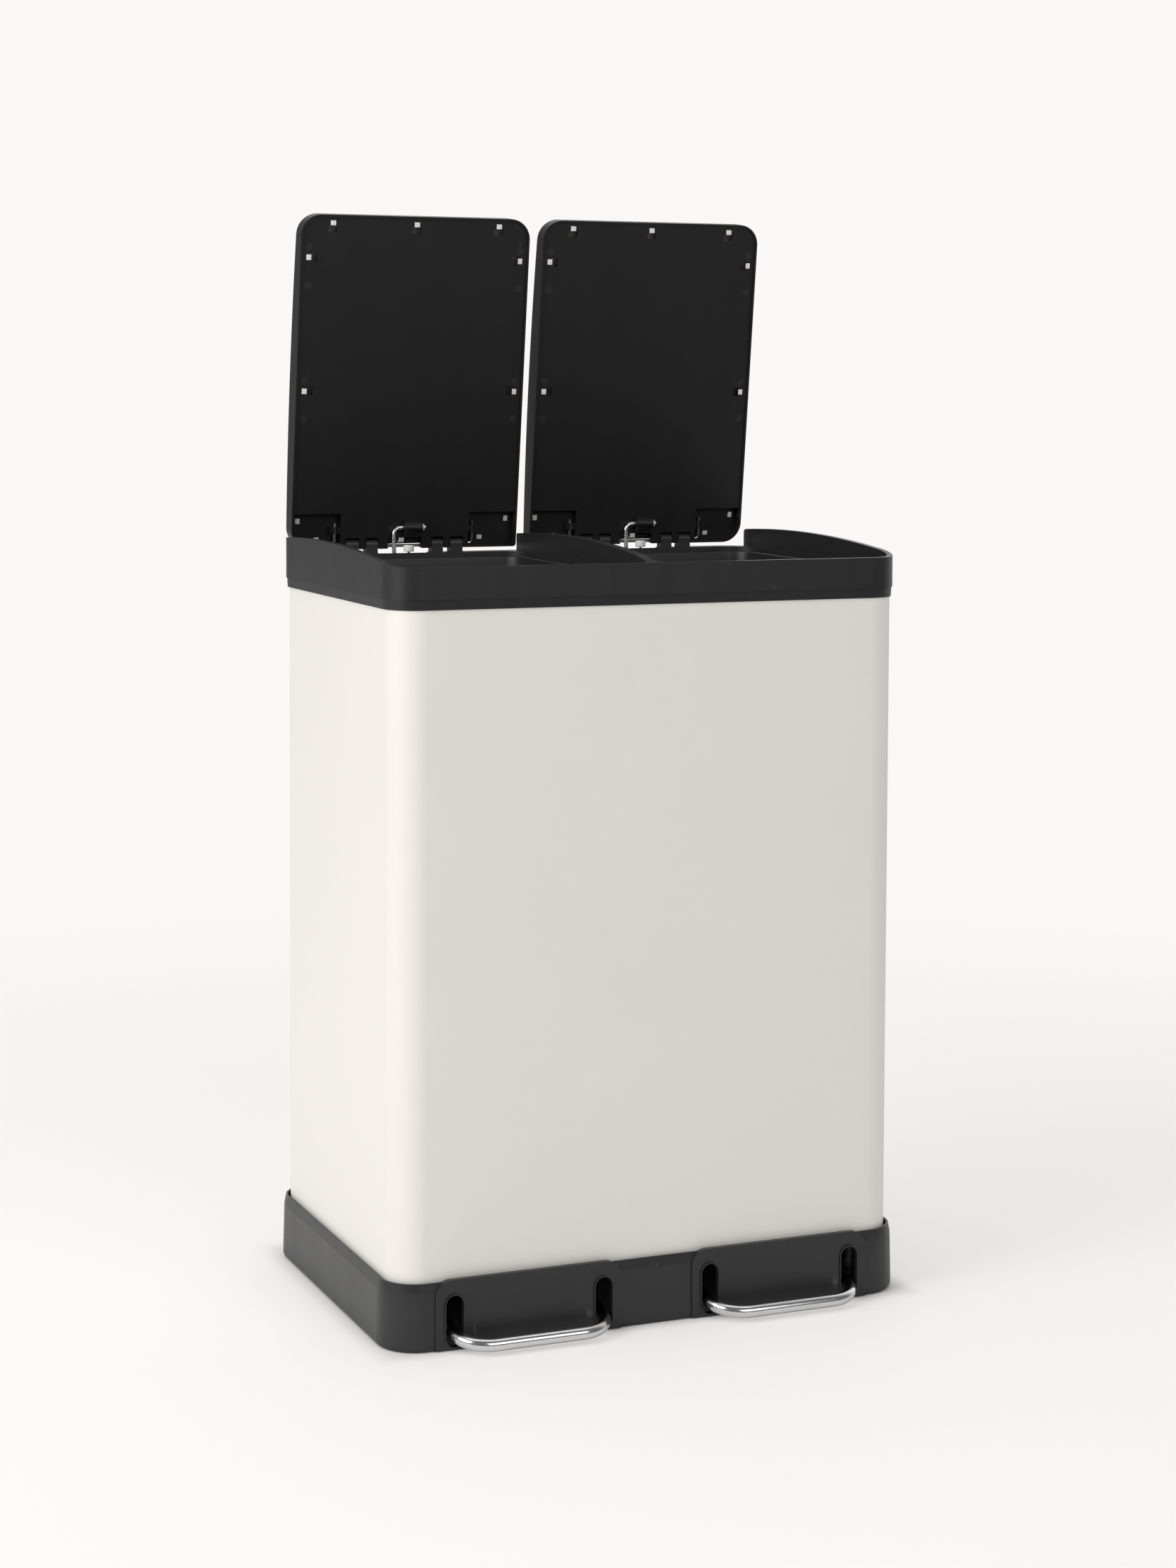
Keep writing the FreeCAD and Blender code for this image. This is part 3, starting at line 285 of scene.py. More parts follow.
def bright_metal(name, colour, rough, line_scale, stretch):
    """Plated or drawn steel: fine lines along the draw, with faint smudges."""
    f = Finish(name, colour, rough, metal=1.0)
    lines = f.noise(line_scale, 2.0, 0.6, stretch=stretch)
    smudge = f.noise(45.0, 3.0)
    f.set("Base Color", f.blend(smudge, shade(colour, 0.93), shade(colour, 1.04)))
    f.set("Roughness", rough * 0.7 + lines * rough * 0.4 + smudge * rough * 0.35)
    f.bump(lines, 0.05, 0.00003)
    return f.material


def pale_moulding(name):
    """White acetal: smooth, with a faint sheen variation."""
    f = Finish(name, (0.80, 0.80, 0.79), 0.35)
    cloud = f.noise(160.0, 2.0)
    f.set("Base Color", f.blend(cloud, (0.76, 0.76, 0.75), (0.84, 0.84, 0.83)))
    f.set("Roughness", 0.28 + cloud * 0.14)
    f.bump(f.noise(1800.0, 2.0), 0.08, 0.00004)
    return f.material


def rubber(name):
    f = Finish(name, (0.022, 0.022, 0.022), 0.75)
    grain = f.noise(1200.0, 3.0)
    f.set("Base Color", f.blend(grain, (0.018, 0.018, 0.018), (0.032, 0.031, 0.030)))
    f.set("Roughness", 0.68 + grain * 0.2)
    f.bump(grain, 0.3, 0.0001)
    return f.material


FINISHES = {}


def finish(name):
    """Each finish is made once, from the sizes and colours in the panel."""
    made = FINISHES.get(name)
    if made is None:
        look = bpy.context.scene.bin_sizes
        makers = {
            "cream_steel": lambda: powder_coat(name, tuple(look.cream)),
            "dark_plastic": lambda: moulded(name, tuple(look.dark)),
            "lining_plastic": lambda: moulded(name, tuple(look.inner), 0.42, 0.30, 0.12, True),
            "bucket_plastic": lambda: moulded(name, (0.012, 0.012, 0.0125), 0.44, 0.2, 0.3),
            "chrome": lambda: bright_metal(name, (0.74, 0.74, 0.75), 0.16, 900.0, (0.05, 1.0, 1.0)),
            "zinc_wire": lambda: bright_metal(name, (0.70, 0.70, 0.71), 0.24, 1500.0, (0.06, 1.0, 0.3)),
            "plain_steel": lambda: bright_metal(name, (0.58, 0.58, 0.58), 0.32, 1200.0, (1.0, 1.0, 0.2)),
            "white_plastic": lambda: pale_moulding(name),
            "foot_rubber": lambda: rubber(name),
        }
        made = FINISHES[name] = makers[name]()
    return made


# ---------------------------------------------------------------- surfaces on grids

def quads(rows, columns, wrap_rows, wrap_columns):
    """Corner numbers of the grid's faces, worked out as whole arrays."""
    r = np.arange(rows if wrap_rows else rows - 1)
    c = np.arange(columns if wrap_columns else columns - 1)
    a, b = np.meshgrid(r, c, indexing="ij")
    a2, b2 = (a + 1) % rows, (b + 1) % columns
    corners = (a * columns + b, a * columns + b2, a2 * columns + b2, a2 * columns + b)
    return np.stack(corners, axis=-1).reshape(-1, 4)


def signed_volume(points, faces):
    """Six times the volume inside the faces: the sum of a . (b x c + c x d) over faces a, b, c, d."""
    p = points[faces]
    return np.einsum("ij,ij->", p[:, 0], np.cross(p[:, 1], p[:, 2]) + np.cross(p[:, 2], p[:, 3]))


def surface(name, grids, finish_name, body, replaces=(), sharp=35.0):
    """Joins point grids (millimetres) into one mesh whose faces point outwards, and puts it on its body.

    Each grid is (points, wrap_rows, wrap_columns, caps); caps close the first and last row with one face.
    """
    points, faces, base = [], [], 0
    for grid, wrap_rows, wrap_columns, caps in grids:
        rows, columns = grid.shape[:2]
        flat = grid.reshape(-1, 3)
        cells = quads(rows, columns, wrap_rows, wrap_columns)
        flip = signed_volume(flat - flat.mean(0), cells) < 0
        if flip:
            cells = cells[:, ::-1]
        loops = (cells + base).tolist()
        if caps:
            first = np.arange(columns)[::-1]
            last = np.arange(columns) + (rows - 1) * columns
            for cap in (first, last):
                cap = cap[::-1] if flip else cap
                loops.append((cap + base).tolist())
        points.append(flat)
        faces += loops
        base += len(flat)
    mesh = bpy.data.meshes.new(name)
    mesh.from_pydata((np.vstack(points) * MM).tolist(), [], faces)
    mesh.validate()
    mesh.shade_smooth()
    mesh.set_sharp_from_angle(angle=math.radians(sharp))
    mesh.materials.append(finish(finish_name))
    piece = bpy.data.objects.new(name, mesh)
    bpy.context.scene.collection.objects.link(piece)
    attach(piece, body)
    if replaces:
        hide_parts(*replaces)
    return piece


def rounded_plan(x0, x1, y0, y1, radii, corner_steps=12, side_steps=10):
    """Points and outward normals round a rounded rectangle, anticlockwise from the front left corner.

    Each corner is a quarter circle in even steps; each side is cut into even parts.
    """
    corners = ((x0, y0, 1, 1, 180), (x1, y0, -1, 1, 270), (x1, y1, -1, -1, 0), (x0, y1, 1, -1, 90))
    points, normals = [], []
    for i, ((x, y, sx, sy, start), r) in enumerate(zip(corners, radii)):
        angle = np.radians(start + np.linspace(0, 90, corner_steps + 1))
        normal = np.stack([np.cos(angle), np.sin(angle)], axis=-1)
        arc = np.array([x + sx * r, y + sy * r]) + normal * r
        nx, ny, nsx, nsy, _ = corners[(i + 1) % 4]
        nr = radii[(i + 1) % 4]
        nxt = np.array([nx + nsx * nr, ny + nsy * nr]) + nr * np.array(
            [math.cos(math.radians(start + 90)), math.sin(math.radians(start + 90))])
        share = np.linspace(0, 1, side_steps + 1)[1:-1, None]
        points += [arc, arc[-1] * (1 - share) + nxt * share]
        normals += [normal, np.repeat(normal[-1:], side_steps - 1, axis=0)]
    return np.vstack(points), np.vstack(normals)


def ring(plan, section):
    """A section of (outward offset, height) pairs carried round a plan: point = plan + normal * offset."""
    points, normals = plan
    section = np.asarray(section, float)
    flat = points[None, :, :] + normals[None, :, :] * section[:, None, :1]
    height = np.broadcast_to(section[:, None, 1:], (len(section), len(points), 1))
    return np.concatenate([flat, height], axis=-1)


def softened(corners, radius, steps=4, closed=True):
    """A polygon in a plane with each corner turned into a small arc.

    Round each corner the arc is the quadratic curve from radius before it to radius after it.
    """
    corners = np.asarray(corners, float)
    before = np.roll(corners, 1, axis=0)
    after = np.roll(corners, -1, axis=0)
    if not closed:
        before[0], after[-1] = corners[0], corners[-1]
    def towards(other):
        gap = other - corners
        length = np.maximum(np.linalg.norm(gap, axis=1, keepdims=True), 1e-9)
        return corners + gap / length * np.minimum(radius, length * 0.45)
    a, b = towards(before), towards(after)
    t = np.linspace(0, 1, steps + 1)[None, :, None]
    curve = (1 - t) ** 2 * a[:, None] + 2 * t * (1 - t) * corners[:, None] + t ** 2 * b[:, None]
    return curve.reshape(-1, corners.shape[1])


def bent_path(points, bend, step_angle=6.0, run_step=40.0):
    """A wire's centre line: straight runs joined by tangent arcs of one radius, as points and directions."""
    points = [np.array(p, float) for p in points]
    line, heading = [points[0]], []
    start = points[0]
    for before, corner, after in zip(points, points[1:], points[2:]):
        d_in = (corner - before) / np.linalg.norm(corner - before)
        d_out = (after - corner) / np.linalg.norm(after - corner)
        turn = math.acos(float(np.clip(d_in @ d_out, -1, 1)))
        side = d_out - d_in * math.cos(turn)
        side /= np.linalg.norm(side)
        end = corner - d_in * bend * math.tan(turn / 2)
        runs = max(int(np.linalg.norm(end - start) / run_step), 1)
        share = np.linspace(0, 1, runs + 1)[:, None]
        line.append(start * (1 - share) + end * share)
        heading.append(np.repeat(d_in[None], runs + 1, axis=0))
        angle = np.linspace(0, turn, max(int(math.degrees(turn) / step_angle), 2) + 1)[1:-1, None]
        line.append(end + bend * (np.sin(angle) * d_in + (1 - np.cos(angle)) * side))
        heading.append(np.cos(angle) * d_in + np.sin(angle) * side)
        start = corner + d_out * bend * math.tan(turn / 2)
    d_out = (points[-1] - start) / np.linalg.norm(points[-1] - start)
    line.append(np.stack([start, points[-1]]))
    heading.append(np.repeat(d_out[None], 2, axis=0))
    return np.vstack(line[1:]), np.vstack(heading)


def wire(points, bend, radius, plane, sides=20, chamfer=0.3):
    """A round wire along a flat path: circle point = centre + r (cos a * plane normal + sin a * side).

    The side is the cross product of the direction and the plane's normal. Both ends are chamfered.
    """
    line, heading = bent_path(points, bend)
    normal = np.array(plane, float) / np.linalg.norm(plane)
    side = np.cross(heading, normal)
    radii = np.full(len(line), radius)
    ends = []
    for index, sign in ((0, 1), (-1, -1)):
        ends.append((line[index] + heading[index] * sign * chamfer, heading[index], side[index]))
    line = np.vstack([line[:1], ends[0][0][None], line[1:-1], ends[1][0][None], line[-1:]])
    heading = np.vstack([heading[:1], heading[:1], heading[1:-1], heading[-1:], heading[-1:]])
    side = np.vstack([side[:1], side[:1], side[1:-1], side[-1:], side[-1:]])
    radii = np.concatenate([[radius - chamfer], [radius], radii[1:-1], [radius], [radius - chamfer]])
    a = np.linspace(0, 2 * math.pi, sides, endpoint=False)
    grid = line[:, None] + radii[:, None, None] * (
        np.cos(a)[None, :, None] * normal[None, None] + np.sin(a)[None, :, None] * side[:, None])
    return grid, False, True, True


def turned(profile, centre, axis=(0, 0, 1), sides=32):
    """A lathe form: each (radius, height) pair of the profile is a circle round the axis."""
    profile = np.asarray(profile, float)
    axis = np.array(axis, float) / np.linalg.norm(axis)
    u = np.cross(axis, (0.0, 1.0, 0.0) if abs(axis[1]) < 0.9 else (1.0, 0.0, 0.0))
    u /= np.linalg.norm(u)
    v = np.cross(axis, u)
    a = np.linspace(0, 2 * math.pi, sides, endpoint=False)
    circle = np.cos(a)[:, None] * u + np.sin(a)[:, None] * v
    grid = np.array(centre, float) + profile[:, None, 1:] * axis + profile[:, None, :1] * circle[None]
    return grid, False, True, True


def opened(grid):
    """Turns points of a closed lid up about the hinge line, by the lid's opening angle."""
    c, s = math.cos(LID_OPEN), -math.sin(LID_OPEN)
    y, z = grid[..., 1] - HINGE_Y, grid[..., 2] - HINGE_Z
    return np.stack([grid[..., 0], HINGE_Y + y * c - z * s, HINGE_Z + y * s + z * c], axis=-1)


def dress(node, finish_name, edge=None):
    """A carried-over moulding: its own finish, and its sharp edges rounded by modifiers."""
    piece = NODES[node]
    piece.data.materials.clear()
    piece.data.materials.append(finish(finish_name))
    if edge:
        weld = piece.modifiers.new("weld", "WELD")
        weld.merge_threshold = 0.00001
        flat = piece.modifiers.new("flat", "DECIMATE")
        flat.decimate_type = "DISSOLVE"
        flat.angle_limit = math.radians(0.02)
        bevel = piece.modifiers.new("edges", "BEVEL")
        bevel.width = edge
        bevel.segments = 2
        bevel.limit_method = "ANGLE"
        bevel.angle_limit = math.radians(35)
        bevel.miter_outer = "MITER_ARC"
        bevel.harden_normals = False
        bevel.use_clamp_overlap = True
        even = piece.modifiers.new("even", "WEIGHTED_NORMAL")
        even.keep_sharp = True
    return piece


# ---------------------------------------------------------------- pieces

def place(x, y, z):
    """A point given from the shell's middle plane."""
    return (x, y + MID_Y, z)


# Steel shell: the folded edges at top and bottom, and the groove of the seam
HEM = 6.0
HEM_BEND = ((-HEM, 0.0), (-1.2, 0.0), (-0.35, 0.35), (0.0, 1.2))    # outwards, and away from the edge
HEM_INNER = 1.0
SEAM_DEEP, SEAM_WIDE, SEAM_REACH = 0.35, 0.6, 30.0


class BIN_OT_shell(bpy.types.Operator):
    """The wrapped steel shell with its folded hems and rear seam"""
    bl_idname = "bin.shell"
    bl_label = "Steel shell"

    def execute(self, context):
        sizes = context.scene.bin_sizes
        t, r = sizes.sheet / MM, sizes.corner / MM
        (x0, y0, low), (x1, y1, high) = SHELL_LOW, SHELL_HIGH
        levels = np.linspace(low + HEM, high - HEM, 24)
        outer = [(out, low + rise) for out, rise in HEM_BEND] + [(0, z) for z in levels]
        outer += [(out, high - rise) for out, rise in HEM_BEND[::-1]]
        inner = [(-HEM, high - t), (-t - HEM_INNER, high - t), (-t, high - t - HEM_INNER)]
        inner += [(-t, z) for z in levels[::-1]]
        inner += [(-t, low + t + HEM_INNER), (-t - HEM_INNER, low + t), (-HEM, low + t)]
        grid = ring(rounded_plan(x0, x1, y0, y1, (r,) * 4, 16, 12), outer + inner)
        # The lock seam: a shallow upright groove in the middle of the back.
        across = np.abs(grid[..., 0])
        back = (grid[..., 1] > y1 - 0.01) & (across < SEAM_REACH)
        grid[..., 1] -= np.where(back, SEAM_DEEP * np.exp(-(across / SEAM_WIDE) ** 2), 0.0)
        surface("shell", [(grid, True, True, False)], "cream_steel", "bin", ("body_shell",))
        return {"FINISHED"}


FINE_EDGE = 0.6                   # the thinner mouldings' edges, as a share of the others'


class BIN_OT_mouldings(bpy.types.Operator):
    """The base, the rim, the lid linings and the levers"""
    bl_idname = "bin.mouldings"
    bl_label = "Mouldings"

    def execute(self, context):
        edge = context.scene.bin_sizes.soft_edge
        dress("base_tray", "dark_plastic", edge)
        dress("top_rim", "dark_plastic", edge)
        for name, _ in SIDES:
            dress("lid_liner_" + name, "lining_plastic", edge * FINE_EDGE)
            dress("pedal_lever_" + name, "dark_plastic", edge * FINE_EDGE)
            dress("damper_body_" + name, "dark_plastic")
        return {"FINISHED"}


# Lid cover: its plan, and its crown as heights over the lining's face at distances from the rear edge
COVER_HALF, COVER_IN = 109.1, 1.2
COVER_CORNER, MEETING_CORNER = 17.8, 1.8
COVER_SHEET = 0.8
CROWN = ((0.0, 14.8), (155.0, 20.6), (LID_DEEP, 14.2))

# Tabs of the cover, bent flat on the lining
TAB_COLUMNS = (-80.0, 0.0, 80.0)
TAB_FRONT_ROW, TAB_REAR_ROW, TAB_REAR_SHIFT = 301.3, 6.0, -3.6
TAB_HALF, TAB_SHEET, TAB_FOLD, TAB_BEND = 2.5, 0.8, 4.0, 0.8
TAB_ROOT = 13.0                   # where a tab leaves the cover, over the lining's face
PANEL_DEEP, POCKET_DEEP = 1.5, 9.5
POCKET_ROWS, POCKET_SIDE = 33.0, 62.5   # the pockets lie behind this row, and outwards of this line


def crown_height(s):
    """Height of the cover's outer face over the lining's face: the circle through the crown's three points.

    On it, s squared + h squared + a s + b h + c = 0, which is solved for a, b and c.
    """
    known = np.array(CROWN)
    rows = np.column_stack([known, np.ones(3)])
    a, b, c = np.linalg.solve(rows, -(known ** 2).sum(axis=1))
    middle_s, middle_h = -a / 2, -b / 2
    r = math.sqrt(middle_s ** 2 + middle_h ** 2 - c)
    return middle_h + np.sqrt(r * r - (s - middle_s) ** 2)


class BIN_OT_lid_skins(bpy.types.Operator):
    """The crowned steel covers of the lids, with their folded tabs"""
    bl_idname = "bin.lid_skins"
    bl_label = "Lid covers"

    def execute(self, context):
        rear = HINGE_Y + REAR_LIP
        for name, side in SIDES:
            x = side * LID_X
            radii = [COVER_CORNER] * 4
            radii[2 if side < 0 else 3] = MEETING_CORNER
            plan = rounded_plan(x - COVER_HALF, x + COVER_HALF, rear - LID_DEEP + COVER_IN, rear - COVER_IN,
                                radii, 12, 16)
            cover = self.cover(plan, np.array([x, rear - LID_DEEP / 2]), rear)
            grids = [(opened(cover), False, True, False)] + self.tabs(x, rear)
            surface("lid_cover_" + name, grids, "cream_steel", "lid_" + name, ("lid_skin_" + name,))
        return {"FINISHED"}

    def cover(self, plan, centre, rear):
        """The inner face from the middle out, a half circle round the cut edge, and the outer face back.

        A point of a face = centre + (edge - centre) times a share, at the crown's height there.
        """
        points, normals = plan
        half = COVER_SHEET / 2
        share = np.concatenate([np.linspace(0.0, 0.96, 16), [1.0]])
        faces = []
        for drop, shares in ((COVER_SHEET, share), (0.0, share[::-1])):
            flat = centre + (points - normals * half - centre)[None] * shares[:, None, None]
            z = FACE_Z + crown_height(rear - flat[..., 1:]) - drop
            faces.append(np.concatenate([flat, z], axis=-1))
        roll = np.radians(np.linspace(-70, 70, 5))[:, None, None]
        flat = points[None] - normals[None] * half + normals[None] * half * np.cos(roll)
        z = FACE_Z + crown_height(rear - flat[..., 1:]) - half + half * np.sin(roll)
        return np.concatenate([faces[0], np.concatenate([flat, z], axis=-1), faces[1]])

    def tabs(self, x, rear):
        """Each tab is a thin strip carried down through the lining and bent flat on it."""
        spots = [(across, TAB_FRONT_ROW, (0, 1)) for across in TAB_COLUMNS]
        spots += [(end * SIDE_TAB, s, (-end, 0)) for end in (-1, 1) for s in SIDE_TAB_ROWS]
        spots += [(across + TAB_REAR_SHIFT, TAB_REAR_ROW, (0, -1)) for across in TAB_COLUMNS]
        thin = TAB_SHEET / 2
        section = [(-TAB_HALF, -thin), (TAB_HALF, -thin), (TAB_HALF, thin), (-TAB_HALF, thin)]
        loop = softened(section, 0.2, 2)
        grids = []
        for across, s, (dx, dy) in spots:
            in_pocket = s < POCKET_ROWS and abs(across) > POCKET_SIDE
            floor = FACE_Z + (POCKET_DEEP if in_pocket else PANEL_DEEP) - thin
            start = np.array([x + across, rear - s, FACE_Z + TAB_ROOT])
            knee = np.array([x + across, rear - s, floor])
            folded = knee + np.array([dx, dy, 0.0]) * TAB_FOLD
            line, heading = bent_path([start, knee, folded], TAB_BEND, 15.0, 100.0)
            wide = np.array([dy, dx, 0.0])
            thick = np.cross(heading, wide)
            grid = line[:, None] + loop[None, :, :1] * wide + loop[None, :, 1:] * thick[:, None]
            grids.append((opened(grid), False, True, True))
        return grids


# Hinge wire: its half length, its upturned ends, their bend and its radius
HINGE_HALF, HINGE_UP, HINGE_BEND, HINGE_R = 67.1, 20.7, 2.6, 1.5

# Push rod: y from the middle plane and z of its two ends, and x from the lid's middle
ROD_TOP, ROD_FOOT = (149.7, 669.0), (140.5, 61.0)
ROD_X, ROD_TOP_END, ROD_FOOT_END = -12.2, 18.7, 9.5
ROD_BEND, ROD_R = 6.5, 2.0
CLIP_TOP, CLIP_FOOT = 14.9, 4.4
CLIP_R, CLIP_LONG = 3.0, 2.2

# Bail: half widths at the bucket's flange and of the loop, and its grip
BUCKET_X, BUCKET_Y = 117.75, MID_Y - 9.75
BAIL_OUT, BAIL_IN, BAIL_REACH, BAIL_Z = 101.55, 95.25, 124.0, 629.0
BAIL_BEND, BAIL_R = 3.0, 2.0
GRIP_HALF, GRIP_R, GRIP_WAVE, GRIP_PITCH, GRIP_END = 42.0, 4.6, 0.4, 14.0, 0.9


class BIN_OT_wires(bpy.types.Operator):
    """Hinge wires, push rods with their caps, and the bails with their grips"""
    bl_idname = "bin.wires"
    bl_label = "Wires and rods"

    def execute(self, context):
        for name, side in SIDES:
            self.hinge(name, side * LID_X)
            self.rod(name, side * LID_X)
            self.bail(name, side * BUCKET_X)
        return {"FINISHED"}

    def hinge(self, name, x):
        closed = [(x + end * HINGE_HALF, HINGE_Y - up, HINGE_Z)
                  for end, up in ((-1, HINGE_UP), (-1, 0), (1, 0), (1, HINGE_UP))]
        line = opened(np.array(closed))
        plane = np.cross(line[0] - line[1], (1, 0, 0))
        surface("hinge_" + name, [wire(line, HINGE_BEND, HINGE_R, plane)], "zinc_wire",
                "lid_" + name, ("hinge_wire_" + name,))

    def rod(self, name, x):
        top, foot = place(0, *ROD_TOP)[1:], place(0, *ROD_FOOT)[1:]
        line = [(x + ROD_FOOT_END, *foot), (x + ROD_X, *foot), (x + ROD_X, *top), (x + ROD_TOP_END, *top)]
        plane = np.cross(np.subtract(line[2], line[1]), (1, 0, 0))
        surface("rod_" + name, [wire(line, ROD_BEND, ROD_R, plane)], "zinc_wire",
                "rod_" + name, ("push_rod_" + name,))
        profile = softened([(ROD_R, 0.0), (CLIP_R, 0.0), (CLIP_R, CLIP_LONG), (ROD_R, CLIP_LONG)], 0.3, 2)
        clips = []
        for x0, (y, z) in ((x + CLIP_TOP, top), (x + CLIP_FOOT, foot)):
            clips.append((turned(profile, (x0, y, z), (1, 0, 0), 28)[0], True, True, False))
        surface("rod_clips_" + name, clips, "white_plastic", "rod_" + name, ("rod_caps_" + name,))

    def bail(self, name, x):
        """The loop, and the grip: radius = its middle radius + a wave along it - a fall at its two ends."""
        corners = ((-BAIL_OUT, 0), (-BAIL_IN, 0), (-BAIL_IN, BAIL_REACH),
                   (BAIL_IN, BAIL_REACH), (BAIL_IN, 0), (BAIL_OUT, 0))
        line = [(x + across, BUCKET_Y + reach, BAIL_Z) for across, reach in corners]
        surface("bail_loop_" + name, [wire(line, BAIL_BEND, BAIL_R, (0, 0, 1))], "zinc_wire",
                "handle_" + name, ("bail_" + name,))
        along = np.linspace(-GRIP_HALF, GRIP_HALF, 43)
        wave = GRIP_WAVE * np.cos(along * 2 * math.pi / GRIP_PITCH)
        swell = GRIP_R + wave - GRIP_END * (np.abs(along) / GRIP_HALF) ** 10
        profile = [(BAIL_R, -GRIP_HALF)] + list(zip(swell, along)) + [(BAIL_R, GRIP_HALF)]
        grip = turned(profile, (x, BUCKET_Y + BAIL_REACH, BAIL_Z), (1, 0, 0), 28)
        surface("bail_sleeve_" + name, [grip], "dark_plastic", "handle_" + name, ("bail_grip_" + name,))


# Pedals: the levers' pivot, the middle of the foot bar, and where an arm leaves its lever
PEDAL_PIVOT = np.array(place(0.0, -8.0, 38.0))
PEDAL_BAR = np.array(place(0.0, -191.35, 9.0))
ARM_FROM, BAR_HALF, BAR_BEND = 38.0, 67.3, 28.0


class BIN_OT_pedals(bpy.types.Operator):
    """The chromed foot bars and the lever axles"""
    bl_idname = "bin.pedals"
    bl_label = "Foot bars"

    def execute(self, context):
        r = context.scene.bin_sizes.bar / MM / 2
        reach = PEDAL_BAR - PEDAL_PIVOT
        along = reach / np.linalg.norm(reach)
        arm = PEDAL_PIVOT + along * ARM_FROM
        plane = np.cross(along, (1, 0, 0))
        for name, side in SIDES:
            left, right = ((side * LID_X + end * BAR_HALF, 0, 0) for end in (-1, 1))
            line = [arm + left, PEDAL_BAR + left, PEDAL_BAR + right, arm + right]
            surface("foot_bar_" + name, [wire(line, BAR_BEND, r, plane, 40)], "chrome",
                    "pedal_" + name, ("pedal_bar_" + name,))
            dress("lever_axle_" + name, "plain_steel")
        return {"FINISHED"}


DAMPER_Y = 143.0
STEM_R, BUTTON_R, BUTTON_LOW, BUTTON_TOP = 1.2, 4.9, 647.0, 653.0


class BIN_OT_dampers(bpy.types.Operator):
    """The white damper buttons and their stems"""
    bl_idname = "bin.dampers"
    bl_label = "Dampers"

    def execute(self, context):
        corners = [(STEM_R, BUTTON_LOW), (BUTTON_R - 0.2, BUTTON_LOW), (BUTTON_R, BUTTON_LOW + 1.0),
                   (BUTTON_R, BUTTON_TOP), (POLE, BUTTON_TOP)]
        profile = softened(corners, 0.9, 4, False)
        for name, side in SIDES:
            button = turned(profile, place(side * LID_X, DAMPER_Y, 0.0))
            surface("damper_button_" + name, [button], "white_plastic",
                    "plunger_" + name, ("damper_cap_" + name,))
            dress("damper_stem_" + name, "plain_steel")
        return {"FINISHED"}


# Bucket: outline of its flange, and its walls, which draw in towards the floor
BUCKET_HALF_X, BUCKET_HALF_Y, BUCKET_CORNER = 106.25, 141.75, 26.0
BUCKET_LOW, BUCKET_TOP = 76.0, 642.0
WALL_IN, WALL_DRAFT, WALL_THICK = 5.5, 8.5, 2.0
FLANGE = ((-4.2, 1.8), (-3.0, 2.0), (-3.0, 6.8), (-2.6, 7.0), (-1.7, 7.0), (-1.5, 6.6), (-1.5, 1.2),
          (-2.0, 0.3), (-3.0, 0.0), (-6.4, 0.0), (-7.2, 0.4))    # outwards, and down from the top


class BIN_OT_buckets(bpy.types.Operator):
    """The tapered inner buckets with their turned-down flanges"""
    bl_idname = "bin.buckets"
    bl_label = "Inner buckets"

    def execute(self, context):
        outer = [self.wall(z, 0) for z in np.linspace(BUCKET_LOW + 8, BUCKET_TOP - 2, 30)]
        inner = [self.wall(z, WALL_THICK) for z in np.linspace(BUCKET_TOP - 1.5, BUCKET_LOW + 12, 30)]
        flange = [(out, BUCKET_TOP - down) for out, down in FLANGE]
        foot = [self.wall(BUCKET_LOW + rise, inside)
                for rise, inside in ((0.0, 6.0), (0.2, 4.6), (2.5, 1.6), (5.0, 0.3))]
        floor = [self.wall(BUCKET_LOW + rise, inside)
                 for rise, inside in ((8.0, 2.3), (5.0, 3.4), (3.0, 5.4), (2.5, 7.6))]
        for name, side in SIDES:
            x = side * BUCKET_X
            plan = rounded_plan(x - BUCKET_HALF_X, x + BUCKET_HALF_X, BUCKET_Y - BUCKET_HALF_Y,
                                BUCKET_Y + BUCKET_HALF_Y, (BUCKET_CORNER,) * 4, 12, 8)
            grid = ring(plan, foot + outer + flange + inner + floor)
            surface("inner_bucket_" + name, [(grid, False, True, True)], "bucket_plastic",
                    "inner_" + name, ("bucket_" + name,))
        return {"FINISHED"}

    def wall(self, z, inside):
        """A point of the section, inside the drafted wall's outer face, as outward offset and height."""
        share = (BUCKET_TOP - z) / (BUCKET_TOP - BUCKET_LOW)
        return -WALL_IN - WALL_DRAFT * share - inside, z


FOOT_X, FOOT_Y, FOOT_R, FOOT_TALL = 205.0, 130.0, 11.0, 3.2


class BIN_OT_fasteners(bpy.types.Operator):
    """The screws and the rubber feet"""
    bl_idname = "bin.fasteners"
    bl_label = "Screws and feet"

    def execute(self, context):
        corners = [(POLE, 0.0), (FOOT_R - 1.2, 0.0), (FOOT_R, 0.7), (FOOT_R, FOOT_TALL), (POLE, FOOT_TALL)]
        profile = softened(corners, 0.5, 3, False)
        feet = [turned(profile, place(sx * FOOT_X, sy * FOOT_Y, 0.0), sides=40)
                for sx in (-1, 1) for sy in (-1, 1)]
        surface("feet", feet, "foot_rubber", "bin", ("foot_pads",))
        for node in ("base_screws", "rim_screws"):
            dress(node, "plain_steel")
        return {"FINISHED"}


# ---------------------------------------------------------------- stage

BACKDROP = (0.955, 0.94, 0.922)
FLOOR_HALF, FLOOR_LINES = 9.0, 25
FLOOR_COLOUR = (0.87, 0.862, 0.852)
# FLOOR_BEFORE is the grey of a painted reflection: the floor glows at it for glossy rays only.
FLOOR_BEFORE = 0.18               # grey of the floor before the bin, as its glossy faces see it
FOOTPRINT_HALF = (0.236, 0.161)

